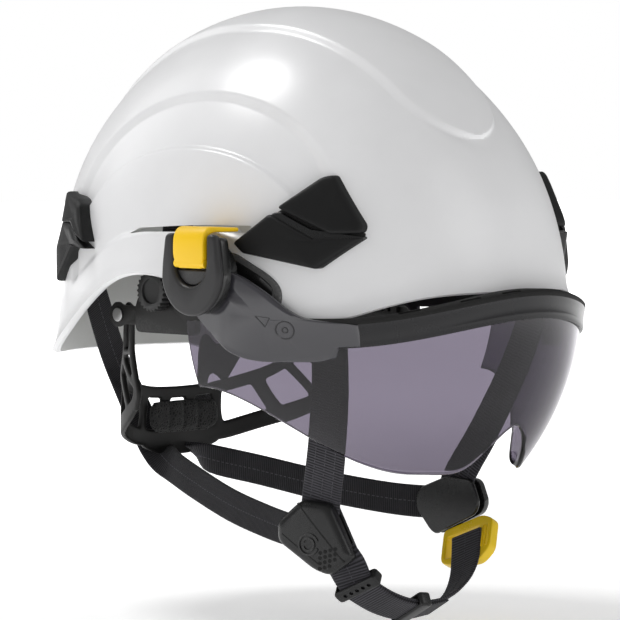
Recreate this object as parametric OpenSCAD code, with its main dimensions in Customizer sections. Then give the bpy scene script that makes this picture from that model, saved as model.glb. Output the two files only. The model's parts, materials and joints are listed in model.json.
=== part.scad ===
// Arborist helmet: hard shell, textile cradle, size-adjusting nape piece, tilting eye shield, chinstrap.
// Millimetres. +Z is up, the front faces -Y, and the wearer's left is +X.
// The origin is the middle of the head opening, at the level of the shell's widest line.

/* [Shell] */
// Half of the shell's width
shell_hw = 104; // [100:1:108]
// Half of the shell's length
shell_hl = 137; // [134:1:142]
// Height of the crown over the widest line
shell_h = 137; // [132:1:142]
// Squareness of the shell's plan outline
plan_power = 2.1; // [2:0.05:2.3]
// Wall thickness of the shell
shell_wall = 2.8; // [2.2:0.2:3.4]
// How far the crown leans to the back
crown_lean = 6; // [4:1:10]
// Height of the rim at the front
rim_front = 4; // [0:1:8]
// Height of the rim at the temples
rim_temple = -10; // [-14:1:-6]
// Height of the rim over the ears
rim_ear = 11; // [8:1:14]
// Height of the rim at the nape
rim_nape = -33; // [-36:1:-28]

/* [Accessory slots] */
// Length of the slot in each side of the shell
slot_length = 74; // [70:1:76]
// Height of the slot
slot_height = 5.5; // [5:0.5:6]

/* [Eye shield] */
// Half width of the lens at its top
lens_hw = 107; // [106:1:109]
// Reach of the lens in front of the origin
lens_reach = 150; // [148:1:153]
// Thickness of the lens
lens_wall = 2.2; // [1.8:0.2:3]
// Radius of the drum that the shield turns on
drum_r = 14.5; // [13:0.5:15]

/* [Headband and nape cradle] */
// Half of the headband's width
band_hw = 76; // [74:1:78]
// Half of the headband's length
band_hl = 102; // [100:1:106]
// Half width of the nape cradle
cradle_hw = 74; // [72:1:75]
// Reach of the nape cradle behind the origin
cradle_reach = 98; // [96:1:100]

/* [Chinstrap] */
// Width of the webbing
web_width = 20; // [16:1:22]
// Thickness of the webbing
web_thick = 1.5; // [1:0.25:2]

/* [Hidden] */
$fn = 48;

shell_white = [0.86, 0.87, 0.88];
clip_black = [0.09, 0.09, 0.10];
charcoal = [0.20, 0.20, 0.21];
smoke = [0.36, 0.34, 0.40];
yellow = [0.96, 0.77, 0.02];
web_black = [0.13, 0.12, 0.14];

// Helpers ---------------------------------------------------------------

function clamp01(u) = max(0, min(1, u));
function ease(u) = (1 - cos(180 * clamp01(u))) / 2;
function mix(a, b, u) = a + (b - a) * u;
function signed_pow(v, p) = (v < 0 ? -1 : 1) * pow(abs(v), p);
function unit(v) = v / norm(v);

// A closed tube through cross-sections of equal length, each counter-clockwise about the way of travel.
module skin(sections) {
    k = len(sections[0]);
    n = len(sections);
    points = [for (s = sections) each s];
    sides = [for (i = [0 : n - 2], j = [0 : k - 1])
        [i * k + j, (i + 1) * k + j, (i + 1) * k + (j + 1) % k, i * k + (j + 1) % k]];
    split = [for (q = sides) each [[q[0], q[1], q[2]], [q[0], q[2], q[3]]]];
    first = [for (j = [1 : k - 2]) [0, j, j + 1]];
    last = [for (j = [1 : k - 2]) [(n - 1) * k, (n - 1) * k + j + 1, (n - 1) * k + j]];
    polyhedron(points, concat(split, first, last));
}

function tangent(path, i) = unit(path[min(i + 1, len(path) - 1)] - path[max(i - 1, 0)]);

// A flat strip along a path; across holds the direction of its width at each point.
module strip(path, across, width, thick) {
    skin([for (i = [0 : len(path) - 1])
        let (t = tangent(path, i), n = unit(cross(t, across[i])), w = cross(n, t))
        [path[i] + w * width / 2 + n * thick / 2, path[i] - w * width / 2 + n * thick / 2,
         path[i] - w * width / 2 - n * thick / 2, path[i] + w * width / 2 - n * thick / 2]]);
}

// Points of a smooth curve through hand-placed points, steps to each stretch.
function smooth(p, steps) = concat([for (i = [0 : len(p) - 2], k = [0 : steps - 1])
    let (a = p[max(i - 1, 0)], b = p[i], c = p[i + 1], d = p[min(i + 2, len(p) - 1)], u = k / steps)
    0.5 * (2 * b + (c - a) * u + (2 * a - 5 * b + 4 * c - d) * u * u + (3 * b - a - 3 * c + d) * u * u * u)],
    [p[len(p) - 1]]);

function same(v, n) = [for (i = [1 : n]) v];

// Shell -----------------------------------------------------------------

temple_y = -84;
ear_y = 6;
nape_y = 121;
lip_flare = 0.03;

function rim_z(y) =
    y < temple_y ? mix(rim_front, rim_temple, ease((y + shell_hl) / (temple_y + shell_hl)))
    : y < ear_y ? mix(rim_temple, rim_ear, ease((y - temple_y) / (ear_y - temple_y)))
    : mix(rim_ear, rim_nape, ease((y - ear_y) / (nape_y - ear_y)));

// Point of the shell at plan angle a and height fraction v, inset millimetres inside the outer face.
function shell_point(a, v, inset) =
    let (c = signed_pow(cos(a), 2 / plan_power), s = signed_pow(sin(a), 2 / plan_power),
        top = shell_h - inset, low = rim_z(s * shell_hl), z = low + (top - low) * sin(90 * v),
        t = max(z, 0) / top, ring = z > 0 ? sqrt(max(0, 1 - t * t)) : 1 + lip_flare * pow(z / rim_nape, 1.5))
    [(shell_hw - inset) * c * ring, crown_lean * t + (shell_hl - inset) * s * ring, z];

// Distance of the shell's outer face from the middle plane at a given y and z.
function shell_x(y, z) =
    let (t = max(z, 0) / shell_h, ring = sqrt(1 - t * t), s = abs(y - crown_lean * t) / (shell_hl * ring))
    shell_hw * ring * pow(1 - pow(s, plan_power), 1 / plan_power);

shell_columns = 72;
shell_rows = 16;

module shell_body() {
    nc = shell_columns;
    nr = shell_rows;
    grid = [for (inset = [0, shell_wall], r = [0 : nr - 1], k = [0 : nc - 1])
        shell_point(k * 360 / nc, r / nr, inset)];
    inner = nr * nc;
    poles = 2 * nr * nc;
    points = concat(grid, [shell_point(0, 1, 0), shell_point(0, 1, shell_wall)]);
    walls = [for (r = [0 : nr - 2], k = [0 : nc - 1])
        let (m = (k + 1) % nc, a = r * nc + k, b = r * nc + m, c = (r + 1) * nc + m, d = (r + 1) * nc + k)
        each [[a, d, c], [a, c, b], [inner + a, inner + c, inner + d], [inner + a, inner + b, inner + c]]];
    caps = [for (k = [0 : nc - 1])
        let (m = (k + 1) % nc, a = (nr - 1) * nc + k, b = (nr - 1) * nc + m)
        each [[a, poles, b], [inner + a, inner + b, poles + 1]]];
    rim = [for (k = [0 : nc - 1])
        let (m = (k + 1) % nc) each [[k, m, inner + m], [k, inner + m, inner + k]]];
    polyhedron(points, concat(walls, caps, rim));
}

slot_z = 32.75;
slot_front_y = -55;

module outer_shell() color(shell_white) difference() {
    shell_body();
    for (side = [-1, 1])
        translate([side * shell_hw - 10, slot_front_y, slot_z - slot_height / 2])
            cube([20, slot_length, slot_height]);
}

// Lamp clips ------------------------------------------------------------

clip_sink = 1.6;
clip_rise = 5;
clip_bevel = 2.5;
rear_clip_rise = 6;
rear_clip_bevel = 2;
plate_lean = 0.35;

// A bevelled plate on the shell's right side: outline points [y, z], from the wall out to rise.
module surface_plate(outline, rise, bevel) {
    n = len(outline);
    mid = [for (k = [0 : 1]) (min([for (p = outline) p[k]]) + max([for (p = outline) p[k]])) / 2];
    function lifted(p, by) =
        [-shell_x(p[0], p[1]) - by, p[0] + by * plate_lean * sin(90 * p[0] / shell_hl), p[1]];
    function drawn_in(p) = p + (mid - p) * bevel / norm(mid - p);
    low = [for (p = outline) lifted(p, -clip_sink)];
    edge = [for (p = outline) lifted(p, rise * 0.6)];
    top = [for (p = outline) lifted(drawn_in(p), rise)];
    points = concat(low, edge, top, [lifted(mid, -clip_sink), lifted(mid, rise)]);
    sides = [for (ring = [0, n], k = [0 : n - 1])
        let (a = ring + k, b = ring + (k + 1) % n) each [[a, b, b + n], [a, b + n, a + n]]];
    ends = [for (k = [0 : n - 1])
        let (m = (k + 1) % n) each [[3 * n, m, k], [3 * n + 1, 2 * n + k, 2 * n + m]]];
    polyhedron(points, concat(sides, ends));
}

front_upper = [[-69, 43], [-84, 57], [-89, 57], [-104, 35], [-104, 31], [-93, 31]];
front_lower = [[-51, 26], [-66, 40], [-91, 28], [-105, 29], [-90, 15], [-56, 22]];
rear_clip = [[82, 33], [90, 21], [86, 5], [64, 24], [48, 22], [57, 35], [61, 43], [84, 48]];

module front_clip_upper() color(clip_black) surface_plate(front_upper, clip_rise, clip_bevel);
module front_clip_lower() color(clip_black) surface_plate(front_lower, clip_rise, clip_bevel);
module rear_clip_plate() color(clip_black) surface_plate(rear_clip, rear_clip_rise, rear_clip_bevel);

module lamp_clip_front_right_upper() front_clip_upper();
module lamp_clip_front_right_lower() front_clip_lower();
module lamp_clip_front_left_upper() mirror([1, 0, 0]) front_clip_upper();
module lamp_clip_front_left_lower() mirror([1, 0, 0]) front_clip_lower();
module lamp_clip_rear_right() rear_clip_plate();
module lamp_clip_rear_left() mirror([1, 0, 0]) rear_clip_plate();

// Textile cradle over the crown -----------------------------------------

crown_base = 14;
crown_rise = 93;
strap_step = 2.7;
strap_short = 4;
front_hold = [74, -88];
side_hold = [94, 2];

// An arch of webbing from one hold over the crown to the hold opposite.
module crown_strap(hold, height) {
    reach = norm(hold) - strap_short;
    dir = concat(hold / norm(hold), 0);
    path = [for (f = [0 : 7.5 : 180]) dir * reach * cos(f) + [0, 0, crown_base + height * sin(f)]];
    color(web_black) strip(path, same(cross([0, 0, 1], dir), len(path)), web_width, web_thick);
}

module crown_strap_a() crown_strap(front_hold, crown_rise);
module crown_strap_b() crown_strap([-front_hold[0], front_hold[1]], crown_rise + strap_step);
module crown_strap_c() crown_strap(side_hold, crown_rise + 2 * strap_step);

patch_r = 19;
patch_thick = 1.6;
patch_gap = 0.2;

module crown_patch() color(charcoal)
    translate([0, 0, crown_base + crown_rise + 2 * strap_step + web_thick / 2 + patch_gap])
        cylinder(h = patch_thick, r = patch_r);

front_anchor = [-71.8, -85.8, 0];
side_anchor = [-94.8, 2, 10];
rear_anchor = [-68, 95, -5];
anchor_size = [6, 26, 18];
anchor_slot = [web_width + 1.2, 4.5];
anchor_slot_z = 4;

// A slotted block that plugs into the wall, its flat back to the shell.
module anchor(at, right) color(clip_black) right_side(right)
    translate(at) rotate([0, 0, atan2(at[1] / pow(shell_hl, 2), at[0] / pow(shell_hw, 2))])
        difference() {
            translate([-anchor_size[0] / 2, -anchor_size[1] / 2, 0]) cube(anchor_size);
            translate([-anchor_size[0], -anchor_slot[0] / 2, anchor_slot_z])
                cube([2 * anchor_size[0], anchor_slot[0], anchor_slot[1]]);
        }

module front_anchor_right() anchor(front_anchor, true);
module front_anchor_left() anchor(front_anchor, false);
module side_anchor_right() anchor(side_anchor, true);
module side_anchor_left() anchor(side_anchor, false);
module rear_anchor_right() anchor(rear_anchor, true);
module rear_anchor_left() anchor(rear_anchor, false);

// Headband --------------------------------------------------------------

band_power = 2.4;
band_wall = 2;

function plan_ring(hw, hl, power) = [for (a = [0 : 6 : 354])
    [hw * signed_pow(cos(a), 2 / power), hl * signed_pow(sin(a), 2 / power)]];

module ring_wall(hw, hl, power, wall, z0, z1)
    translate([0, 0, z0]) linear_extrude(height = z1 - z0) difference() {
        polygon(plan_ring(hw, hl, power));
        polygon(plan_ring(hw - wall, hl - wall, power));
    }

// Extrudes a [y, z] outline across the whole width.
module across_x(outline, half = 130)
    translate([-half, 0, 0]) rotate([90, 0, 90]) linear_extrude(height = 2 * half) polygon(outline);

band_slot = [12, 6];
band_slot_z = 4;
band_slot_gap = 20;
pad_gap = 0.3;
pad_wall = 5;
pad_low = -8;
pad_high = 24;
band_side = [[-110, -5], [-110, 20], [-20, 20], [6, 8], [6, -12], [-30, -5]];

module headband() color(charcoal) difference() {
    intersection() {
        ring_wall(band_hw, band_hl, band_power, band_wall, pad_low, pad_high);
        across_x(band_side);
    }
    for (k = [-2 : 2])
        translate([k * band_slot_gap - band_slot[0] / 2, -band_hl - 5, band_slot_z])
            cube([band_slot[0], 30, band_slot[1]]);
}

brow_side = [[-110, -3], [-110, 18], [-62, 18], [-56, 8], [-62, -3]];

module brow_pad() color(web_black) intersection() {
    ring_wall(band_hw - band_wall - pad_gap, band_hl - band_wall - pad_gap, band_power,
        pad_wall, pad_low, pad_high);
    across_x(brow_side);
}

// Size adjustment -------------------------------------------------------

rack_x = 67.6;
rack_wall = 2;
rack_z = -12;
rack_high = 9;
rack_front = 8;
pivot_y = 62;
pivot_r = 7;
pin_r = 2;
pin_long = 8.6;
pin_head_r = 3.4;
pin_head = 1;
pin_play = 0.05;
wheel_y = 26;
wheel_r = 10;
wheel_z = rack_z + 13;
wheel_wide = 6;
grips = 18;
shaft_r = 3;
housing_wall = 4.6;
housing_gap = 0.4;
housing_front = -2;
housing_size = [46, 24];
housing_drop = 7.5;

module right_side(on) {
    if (on) children(); else mirror([1, 0, 0]) children();
}

// A round bar along x at a given y and z.
module bar_x(x, y, z, h, r) translate([x, y, z]) rotate([0, 90, 0]) cylinder(h = h, r = r);

module size_rack(right) color(charcoal) right_side(right) difference() {
    union() {
        translate([-rack_x - rack_wall, rack_front, rack_z - rack_high / 2])
            cube([rack_wall, pivot_y - rack_front, rack_high]);
        bar_x(-rack_x - rack_wall, pivot_y, rack_z, rack_wall, pivot_r);
    }
    bar_x(-rack_x - rack_wall - 1, pivot_y, rack_z, rack_wall + 2, pin_r + pin_play);
}

module wheel_housing(right) color(charcoal) right_side(right) difference() {
    translate([-rack_x - rack_wall - housing_gap - housing_wall, housing_front, rack_z - housing_drop])
        cube([housing_wall, housing_size[0], housing_size[1]]);
    bar_x(-rack_x - 12, wheel_y, wheel_z, 20, shaft_r + pin_play);
}

module size_wheel(right) color(clip_black) right_side(right)
    translate([-rack_x - rack_wall - 2 * housing_gap - housing_wall, wheel_y, wheel_z]) rotate([0, -90, 0]) {
        difference() {
            cylinder(h = wheel_wide, r = wheel_r);
            for (k = [0 : grips - 1])
                rotate([0, 0, k * 360 / grips]) translate([wheel_r + 0.6, 0, -1]) cylinder(h = 8, r = 1.2);
            translate([0, 0, wheel_wide - 1.5]) cylinder(h = 3, r = 6);
        }
        translate([0, 0, -housing_wall - 1]) cylinder(h = housing_wall + 2, r = shaft_r);
    }

module cradle_pin(right) color(clip_black) right_side(right) {
    bar_x(-rack_x - rack_wall, pivot_y, rack_z, pin_long, pin_r);
    bar_x(-rack_x - rack_wall - pin_head, pivot_y, rack_z, pin_head, pin_head_r);
}

module size_rack_right() size_rack(true);
module size_rack_left() size_rack(false);
module wheel_housing_right() wheel_housing(true);
module wheel_housing_left() wheel_housing(false);
module size_wheel_right() size_wheel(true);
module size_wheel_left() size_wheel(false);
module cradle_pin_right() cradle_pin(true);
module cradle_pin_left() cradle_pin(false);

// Nape cradle -----------------------------------------------------------

cradle_power = 2.6;
cradle_wall = 2.6;
cradle_side = [[54, -6], [70, -6], [71, -24], [76, -35], [88, -45], [110, -54], [110, -80], [86, -76],
    [66, -65], [51, -55], [50, -45], [56, -28]];
side_window_low = [[59, -53], [72, -60], [76, -49], [70, -41]];
side_window_high = [[61, -23], [66, -24], [68, -34], [60, -43], [56, -44]];

rear_window_inner = [[6.5, 23.5], [-72, -60]];
rear_window_outer = [[28, 40], [-69, -56]];
nape_pad_half = 26;
nape_pad_wall = 4;
nape_pad_gap = 0.4;
nape_pad_low = -77;
nape_pad_high = -56;

// A window through the rear of the cradle, its x and z limits given.
module cradle_window(span) {
    translate([span[0][0], 60, span[1][0]])
        cube([span[0][1] - span[0][0], 60, span[1][1] - span[1][0]]);
}

module nape_cradle() color(charcoal) difference() {
    intersection() {
        ring_wall(cradle_hw, cradle_reach, cradle_power, cradle_wall, -82, -4);
        across_x(cradle_side);
        translate([-100, 40, -90]) cube([200, 80, 90]);
    }
    across_x(side_window_low);
    across_x(side_window_high);
    for (right = [false, true]) right_side(right) {
        cradle_window(rear_window_inner);
        cradle_window(rear_window_outer);
    }
    bar_x(-100, pivot_y, rack_z, 200, pin_r + pin_play);
}

module nape_pad() color(web_black) intersection() {
    ring_wall(cradle_hw - cradle_wall - nape_pad_gap, cradle_reach - cradle_wall - nape_pad_gap, cradle_power,
        nape_pad_wall, nape_pad_low, nape_pad_high);
    translate([-nape_pad_half, 60, -90]) cube([2 * nape_pad_half, 60, 60]);
}

// Eye shield ------------------------------------------------------------

hinge_y = -43;
hinge_z = 12.5;
lens_drop_x = 101;
lens_drop_y = 151;
lens_end = 80;
brow_mid_z = 3;
brow_side_z = -10;
brow_turn = 52;
notch_z = -58;
notch_turn = 27;
lobe_z = -81;
lobe_turn = 33;
corner_z = -41;
corner_bend = 1.25;

function lens_point(f, z, inset) =
    [(lens_hw * sqrt(1 - pow(z / lens_drop_x, 2)) - inset) * sin(f),
     -(lens_reach * sqrt(1 - pow(z / lens_drop_y, 2)) - inset) * cos(f), z];

function lens_top(f) = mix(brow_mid_z, brow_side_z, ease(abs(f) / brow_turn));

// The lower edge: a nose notch in the middle, two deep lobes, and a rise to the rear corners.
function lens_low(f) =
    let (g = abs(f))
    g < notch_turn ? mix(notch_z, lobe_z, ease(g / notch_turn))
    : g < lobe_turn ? lobe_z
    : mix(lobe_z, corner_z, ease(pow((g - lobe_turn) / (lens_end - lobe_turn), corner_bend)));

lens_columns = 64;
lens_rows = 8;

module shield_lens() {
    sections = [for (k = [0 : lens_columns])
        let (f = mix(-lens_end, lens_end, k / lens_columns), z1 = lens_top(f), z0 = lens_low(f))
        concat([for (r = [0 : lens_rows]) lens_point(f, mix(z1, z0, r / lens_rows), 0)],
            [for (r = [lens_rows : -1 : 0]) lens_point(f, mix(z1, z0, r / lens_rows), lens_wall)])];
    k = 2 * (lens_rows + 1);
    color(smoke) lens_skin(sections, k);
}

// Like skin(), with end faces made of quads between the outer and the inner wall.
module lens_skin(sections, k) {
    n = len(sections);
    points = [for (s = sections) each s];
    sides = [for (i = [0 : n - 2], j = [0 : k - 1])
        let (a = i * k + j, b = i * k + (j + 1) % k) each [[a, a + k, b + k], [a, b + k, b]]];
    ends = [for (j = [0 : k / 2 - 2])
        let (a = j, b = j + 1, c = k - 2 - j, d = k - 1 - j, o = (n - 1) * k)
        each [[a, b, c], [a, c, d], [o + a, o + c, o + b], [o + a, o + d, o + c]]];
    polyhedron(points, concat(sides, ends));
}

frame_end = 56;
frame_high = 11;
frame_wall = 3.2;
frame_proud = 1.8;

module shield_brow_frame() color(smoke) skin([for (k = [0 : 40])
    let (f = mix(-frame_end, frame_end, k / 40), z = lens_top(f))
    [lens_point(f, z - frame_high, -frame_proud), lens_point(f, z - frame_high, frame_wall - frame_proud),
     lens_point(f, z + 2, frame_wall - frame_proud), lens_point(f, z + 2, -frame_proud)]]);

arm_x = 106.4;
arm_wall = 2.6;
arm_high = 18;
ring_r = 18;
drum_play = 0.08;
drum_bore_r = 8;
arm_path = [[-arm_x - 1.3, -50, 0], [-arm_x - 1, -62, -5], [-arm_x + 1, -74, -11], [-99.5, -87, -14.5],
    [-91, -99, -15], [-85, -105.5, -14.5]];

module shield_arm(right) color(smoke) right_side(right) difference() {
    union() {
        bar_x(-arm_x - arm_wall, hinge_y, hinge_z, arm_wall, ring_r);
        let (path = smooth(arm_path, 4)) strip(path, same([0, 0, 1], len(path)), arm_high, arm_wall);
    }
    bar_x(-arm_x - 2 * arm_wall, hinge_y, hinge_z, 3 * arm_wall, drum_r + drum_play);
}

module shield_arm_right() shield_arm(true);
module shield_arm_left() shield_arm(false);

base_rise = 2.4;
base_bevel = 1.5;
base_outline = [[-28, 22], [-50, 22], [-68, 12], [-74, 6], [-74, -3], [-60, -5], [-40, 0], [-28, 4]];

module shield_base(right) color(clip_black) right_side(right) surface_plate(base_outline, base_rise, base_bevel);
module shield_base_right() shield_base(true);
module shield_base_left() shield_base(false);

drum_in = 101.5;
pod_in = 109.4;
pod_out = 119;
pod_r = 19.5;
pod_top = 31;

module shield_drum(right) color(clip_black) right_side(right)
    translate([-pod_in, hinge_y, hinge_z]) rotate([0, 90, 0]) difference() {
        cylinder(h = pod_in - drum_in, r = drum_r);
        translate([0, 0, -1]) cylinder(h = 20, r = drum_bore_r);
    }
module shield_drum_right() shield_drum(true);
module shield_drum_left() shield_drum(false);

channel_w = 22.4;
channel_back = 112.5;

module shield_pod(right) color(charcoal) right_side(right) difference() {
    union() {
        bar_x(-pod_out, hinge_y, hinge_z, pod_out - pod_in, pod_r);
        translate([-pod_out, hinge_y - pod_r, hinge_z]) cube([pod_out - pod_in, 2 * pod_r, pod_top - hinge_z]);
    }
    translate([-pod_out - 1, hinge_y - 50, pod_top]) cube([30, 100, 20]);
    translate([-pod_out - 1, hinge_y - channel_w / 2, hinge_z]) cube([pod_out + 1 - channel_back, channel_w, 40]);
    bar_x(-pod_out - 1, hinge_y, hinge_z, pod_out + 1 - channel_back, channel_w / 2);
}
module shield_pod_right() shield_pod(true);
module shield_pod_left() shield_pod(false);

latch_w = 20.6;
latch_z = 17.3;
latch_out = 119.6;
latch_wall = 4.6;
hook_low = 31.6;
hook_top = 33.8;
hook_tip = 96.2;

module shield_latch(right) color(yellow) right_side(right) union() {
    translate([-latch_out + latch_wall / 2, hinge_y - latch_w / 2, latch_z]) rotate([-90, 0, 0])
        cylinder(h = latch_w, r = latch_wall / 2);
    translate([-latch_out, hinge_y - latch_w / 2, latch_z]) cube([latch_wall, latch_w, hook_top - latch_z]);
    translate([-latch_out + 2, hinge_y - latch_w / 2, hook_low])
        cube([latch_out - 2 - hook_tip, latch_w, hook_top - hook_low]);
}
module shield_latch_right() shield_latch(true);
module shield_latch_left() shield_latch(false);

// Chinstrap -------------------------------------------------------------
// Both sides are drawn on the right; the left adjuster hangs a little higher and further back.

left_shift = [2.5, 5, 8];
rear_shift = [5.6, 5, 8];
adjuster_at = [-49.5, -57, -113];
turn_right = 21;
turn_left = -6;

// Moves the points after the one numbered start towards the left adjuster, little by little.
function hang(path, right, start, shift) = right ? path
    : [for (i = [0 : len(path) - 1]) path[i] + shift * clamp01((i - start) / (len(path) - 1 - start))];

front_strap_path = [[-73, -88, 2], [-72, -87, -6], [-64, -80, -40], [-56, -69, -72], [-50.5, -60, -94],
    [-49.5, -57.5, -106]];
front_strap_across = [-0.1, 0.995, 0];
adjuster_across = [-0.358, 0.934, 0];
receiver_across = [0.1, 0.995, 0];

module front_strap(right) color(web_black) right_side(right)
    let (path = smooth(hang(front_strap_path, right, 0, left_shift), 3), n = len(path),
        low_across = right ? adjuster_across : receiver_across)
        strip(path, [for (i = [0 : n - 1]) mix(front_strap_across, low_across, i / (n - 1))],
            web_width, web_thick);
module front_strap_right() front_strap(true);
module front_strap_left() front_strap(false);

rear_strap_path = [[-62, 90, 2], [-52, 94, -16], [-40, 99.5, -34], [-27, 102, -54], [-16, 103, -72],
    [-11, 100, -84], [-14, 86, -90], [-24, 58, -96], [-36, 18, -104], [-45, -18, -109],
    [-51.5, -42, -111], [-52.5, -49, -111.5]];
rear_strap_across = [[0.55, 0, 0.83], [0.8, 0, 0.6], [0.85, 0, 0.52], [0.88, -0.1, 0.45], [0.9, -0.2, 0.3],
    [0.85, -0.3, 0.3], [0.3, 0, 0.95], [0.2, 0, 0.98], [0.12, 0, 0.99], [0.08, 0, 0.99], [0, 0, 1], [0, 0, 1]];
rear_turn_point = 5;
rear_narrower = 4;

module rear_strap(right) color(web_black) right_side(right)
    strip(smooth(hang(rear_strap_path, right, rear_turn_point, rear_shift), 3), smooth(rear_strap_across, 3),
        web_width - rear_narrower, web_thick);
module rear_strap_right() rear_strap(true);
module rear_strap_left() rear_strap(false);

adjuster_outline = [[-6.4, 17.9], [8.5, 17], [20.3, -7.7], [19.2, -10], [8.5, -17.4], [0.5, -15],
    [-18.7, -1.9], [-18.7, 7.2]];
receiver_outline = [[-1.9, 14.5], [14, 13.5], [18.4, 2.4], [15.9, -3.1], [-8.3, -14.5], [-12, -12.6],
    [-20.7, -2.4], [-20.7, 3.9], [-17.8, 8.2]];
adjuster_gap = 1.65;
cover_thick = 5;
back_thick = 2;

// Local frame of the adjuster: x to the front, y up, z outward from the cheek.
module at_adjuster(right) right_side(right)
    translate(right ? adjuster_at : adjuster_at + left_shift)
        rotate([0, 0, right ? turn_right : turn_left]) rotate([90, 0, -90]) children();

module adjuster(right) color(clip_black) at_adjuster(right)
    translate([0, 0, adjuster_gap]) linear_extrude(height = cover_thick)
        polygon(right ? adjuster_outline : receiver_outline);
module adjuster_back(right) color(charcoal) at_adjuster(right)
    translate([0, 0, -adjuster_gap - back_thick]) linear_extrude(height = back_thick)
        polygon(right ? adjuster_outline : receiver_outline);

module adjuster_right() adjuster(true);
module adjuster_left() adjuster(false);
module adjuster_back_right() adjuster_back(true);
module adjuster_back_left() adjuster_back(false);

chin_path = [[-45.6, -67.3, -121], [-44.3, -70.5, -125.5], [-38, -72, -135.5], [-24, -75, -144], [-8, -77, -148.5],
    [8, -78.5, -147.5], [21, -77.5, -142], [30, -75, -134], [36.5, -70.5, -125], [40.5, -67, -117]];
chin_across = [[0.277, -0.722, 0.635], [0.277, -0.722, 0.635], [0.1, -0.86, 0.5], [0, -0.88, 0.47],
    [0, -0.88, 0.47], [0, -0.88, 0.47], [-0.02, -0.88, 0.47], [0.04, -0.9, 0.42], [0.09, -0.92, 0.38], [0.09, -0.92, 0.38]];

module chin_strap() color(web_black)
    strip(smooth(chin_path, 4), smooth(chin_across, 4), web_width - 1, web_thick);

slider_point = 2;
slider_long = 6.5;
keeper_point = 4;
keeper_long = 7;
ring_rim = 2.5;
ring_play = 0.8;
ring_thick = 7;
ring_gap = 5;

// A flat ring threaded on the chin strap at one of its points.
module threaded_ring(point, long) {
    t = tangent(chin_path, point);
    n = unit(cross(t, chin_across[point]));
    w = cross(n, t);
    p = chin_path[point];
    multmatrix([[w[0], n[0], t[0], p[0]], [w[1], n[1], t[1], p[1]], [w[2], n[2], t[2], p[2]], [0, 0, 0, 1]])
        difference() {
            translate([-web_width / 2 - ring_rim, -ring_thick / 2, -long / 2])
                cube([web_width + 2 * ring_rim, ring_thick, long]);
            translate([-web_width / 2 - ring_play, -ring_gap / 2, -long])
                cube([web_width + 2 * ring_play, ring_gap, 2 * long]);
        }
}

module strap_slider() color(clip_black) threaded_ring(slider_point, slider_long);
module strap_keeper() color(clip_black) threaded_ring(keeper_point, keeper_long);

// Yellow release buckle: a frame under the left adjuster; the strap's end loop hangs from its upper bar.
buckle_centre = [41.2, -68.3, -122.6];
buckle_across = unit([0.093, -0.92, 0.364]);
buckle_down = unit([-0.504, -0.362, -0.782]);
buckle_size = [33, 26];
buckle_window = [21.5, 15];
window_shift = -3;
buckle_thick = 3;

module chin_buckle() color(yellow)
    let (c = buckle_across, n = unit(cross(c, buckle_down)), d = cross(n, c), p = buckle_centre)
        multmatrix([[c[0], d[0], n[0], p[0]], [c[1], d[1], n[1], p[1]], [c[2], d[2], n[2], p[2]], [0, 0, 0, 1]])
            difference() {
                translate([-buckle_size[0] / 2, -buckle_size[1] / 2, -buckle_thick / 2])
                    cube([buckle_size[0], buckle_size[1], buckle_thick]);
                translate([window_shift - buckle_window[0] / 2, -buckle_window[1] / 2, -buckle_thick])
                    cube([buckle_window[0], buckle_window[1], 2 * buckle_thick]);
            }

outer_shell();
lamp_clip_front_right_upper();
lamp_clip_front_right_lower();
lamp_clip_front_left_upper();
lamp_clip_front_left_lower();
lamp_clip_rear_right();
lamp_clip_rear_left();
crown_strap_a();
crown_strap_b();
crown_strap_c();
crown_patch();
front_anchor_right();
front_anchor_left();
side_anchor_right();
side_anchor_left();
rear_anchor_right();
rear_anchor_left();
headband();
brow_pad();
wheel_housing_right();
wheel_housing_left();
size_wheel_right();
size_wheel_left();
size_rack_right();
size_rack_left();
cradle_pin_right();
cradle_pin_left();
nape_cradle();
nape_pad();
shield_base_right();
shield_base_left();
shield_drum_right();
shield_drum_left();
shield_pod_right();
shield_pod_left();
shield_latch_right();
shield_latch_left();
shield_lens();
shield_brow_frame();
shield_arm_right();
shield_arm_left();
front_strap_right();
front_strap_left();
rear_strap_right();
rear_strap_left();
adjuster_right();
adjuster_left();
adjuster_back_right();
adjuster_back_left();
chin_strap();
strap_slider();
strap_keeper();
chin_buckle();
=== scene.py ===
"""Looks of the arborist helmet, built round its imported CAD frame.

Shapes are written in millimetres and made in metres. +Z is up, the front faces -Y, the wearer's left is +X.
"""
import json
import math

import bmesh
import bpy
import numpy as np
from mathutils import Matrix, Vector


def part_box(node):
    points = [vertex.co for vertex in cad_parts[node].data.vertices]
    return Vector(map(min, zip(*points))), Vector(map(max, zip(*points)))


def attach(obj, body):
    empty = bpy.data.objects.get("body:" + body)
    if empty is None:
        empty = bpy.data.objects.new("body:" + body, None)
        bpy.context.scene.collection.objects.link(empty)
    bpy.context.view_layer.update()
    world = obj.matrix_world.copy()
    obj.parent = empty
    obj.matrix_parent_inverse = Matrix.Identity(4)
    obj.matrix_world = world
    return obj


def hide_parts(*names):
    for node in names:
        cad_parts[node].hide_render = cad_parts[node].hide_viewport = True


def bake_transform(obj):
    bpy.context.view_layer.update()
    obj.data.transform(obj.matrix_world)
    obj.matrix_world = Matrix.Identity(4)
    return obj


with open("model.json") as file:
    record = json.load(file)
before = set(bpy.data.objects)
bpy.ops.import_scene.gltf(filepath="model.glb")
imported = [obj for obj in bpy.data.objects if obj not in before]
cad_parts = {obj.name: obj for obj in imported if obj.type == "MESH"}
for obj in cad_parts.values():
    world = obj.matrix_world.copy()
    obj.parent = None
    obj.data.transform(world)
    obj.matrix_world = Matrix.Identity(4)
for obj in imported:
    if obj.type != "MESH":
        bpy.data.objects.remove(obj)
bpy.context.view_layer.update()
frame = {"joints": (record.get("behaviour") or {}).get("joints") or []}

MM = 0.001
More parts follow.
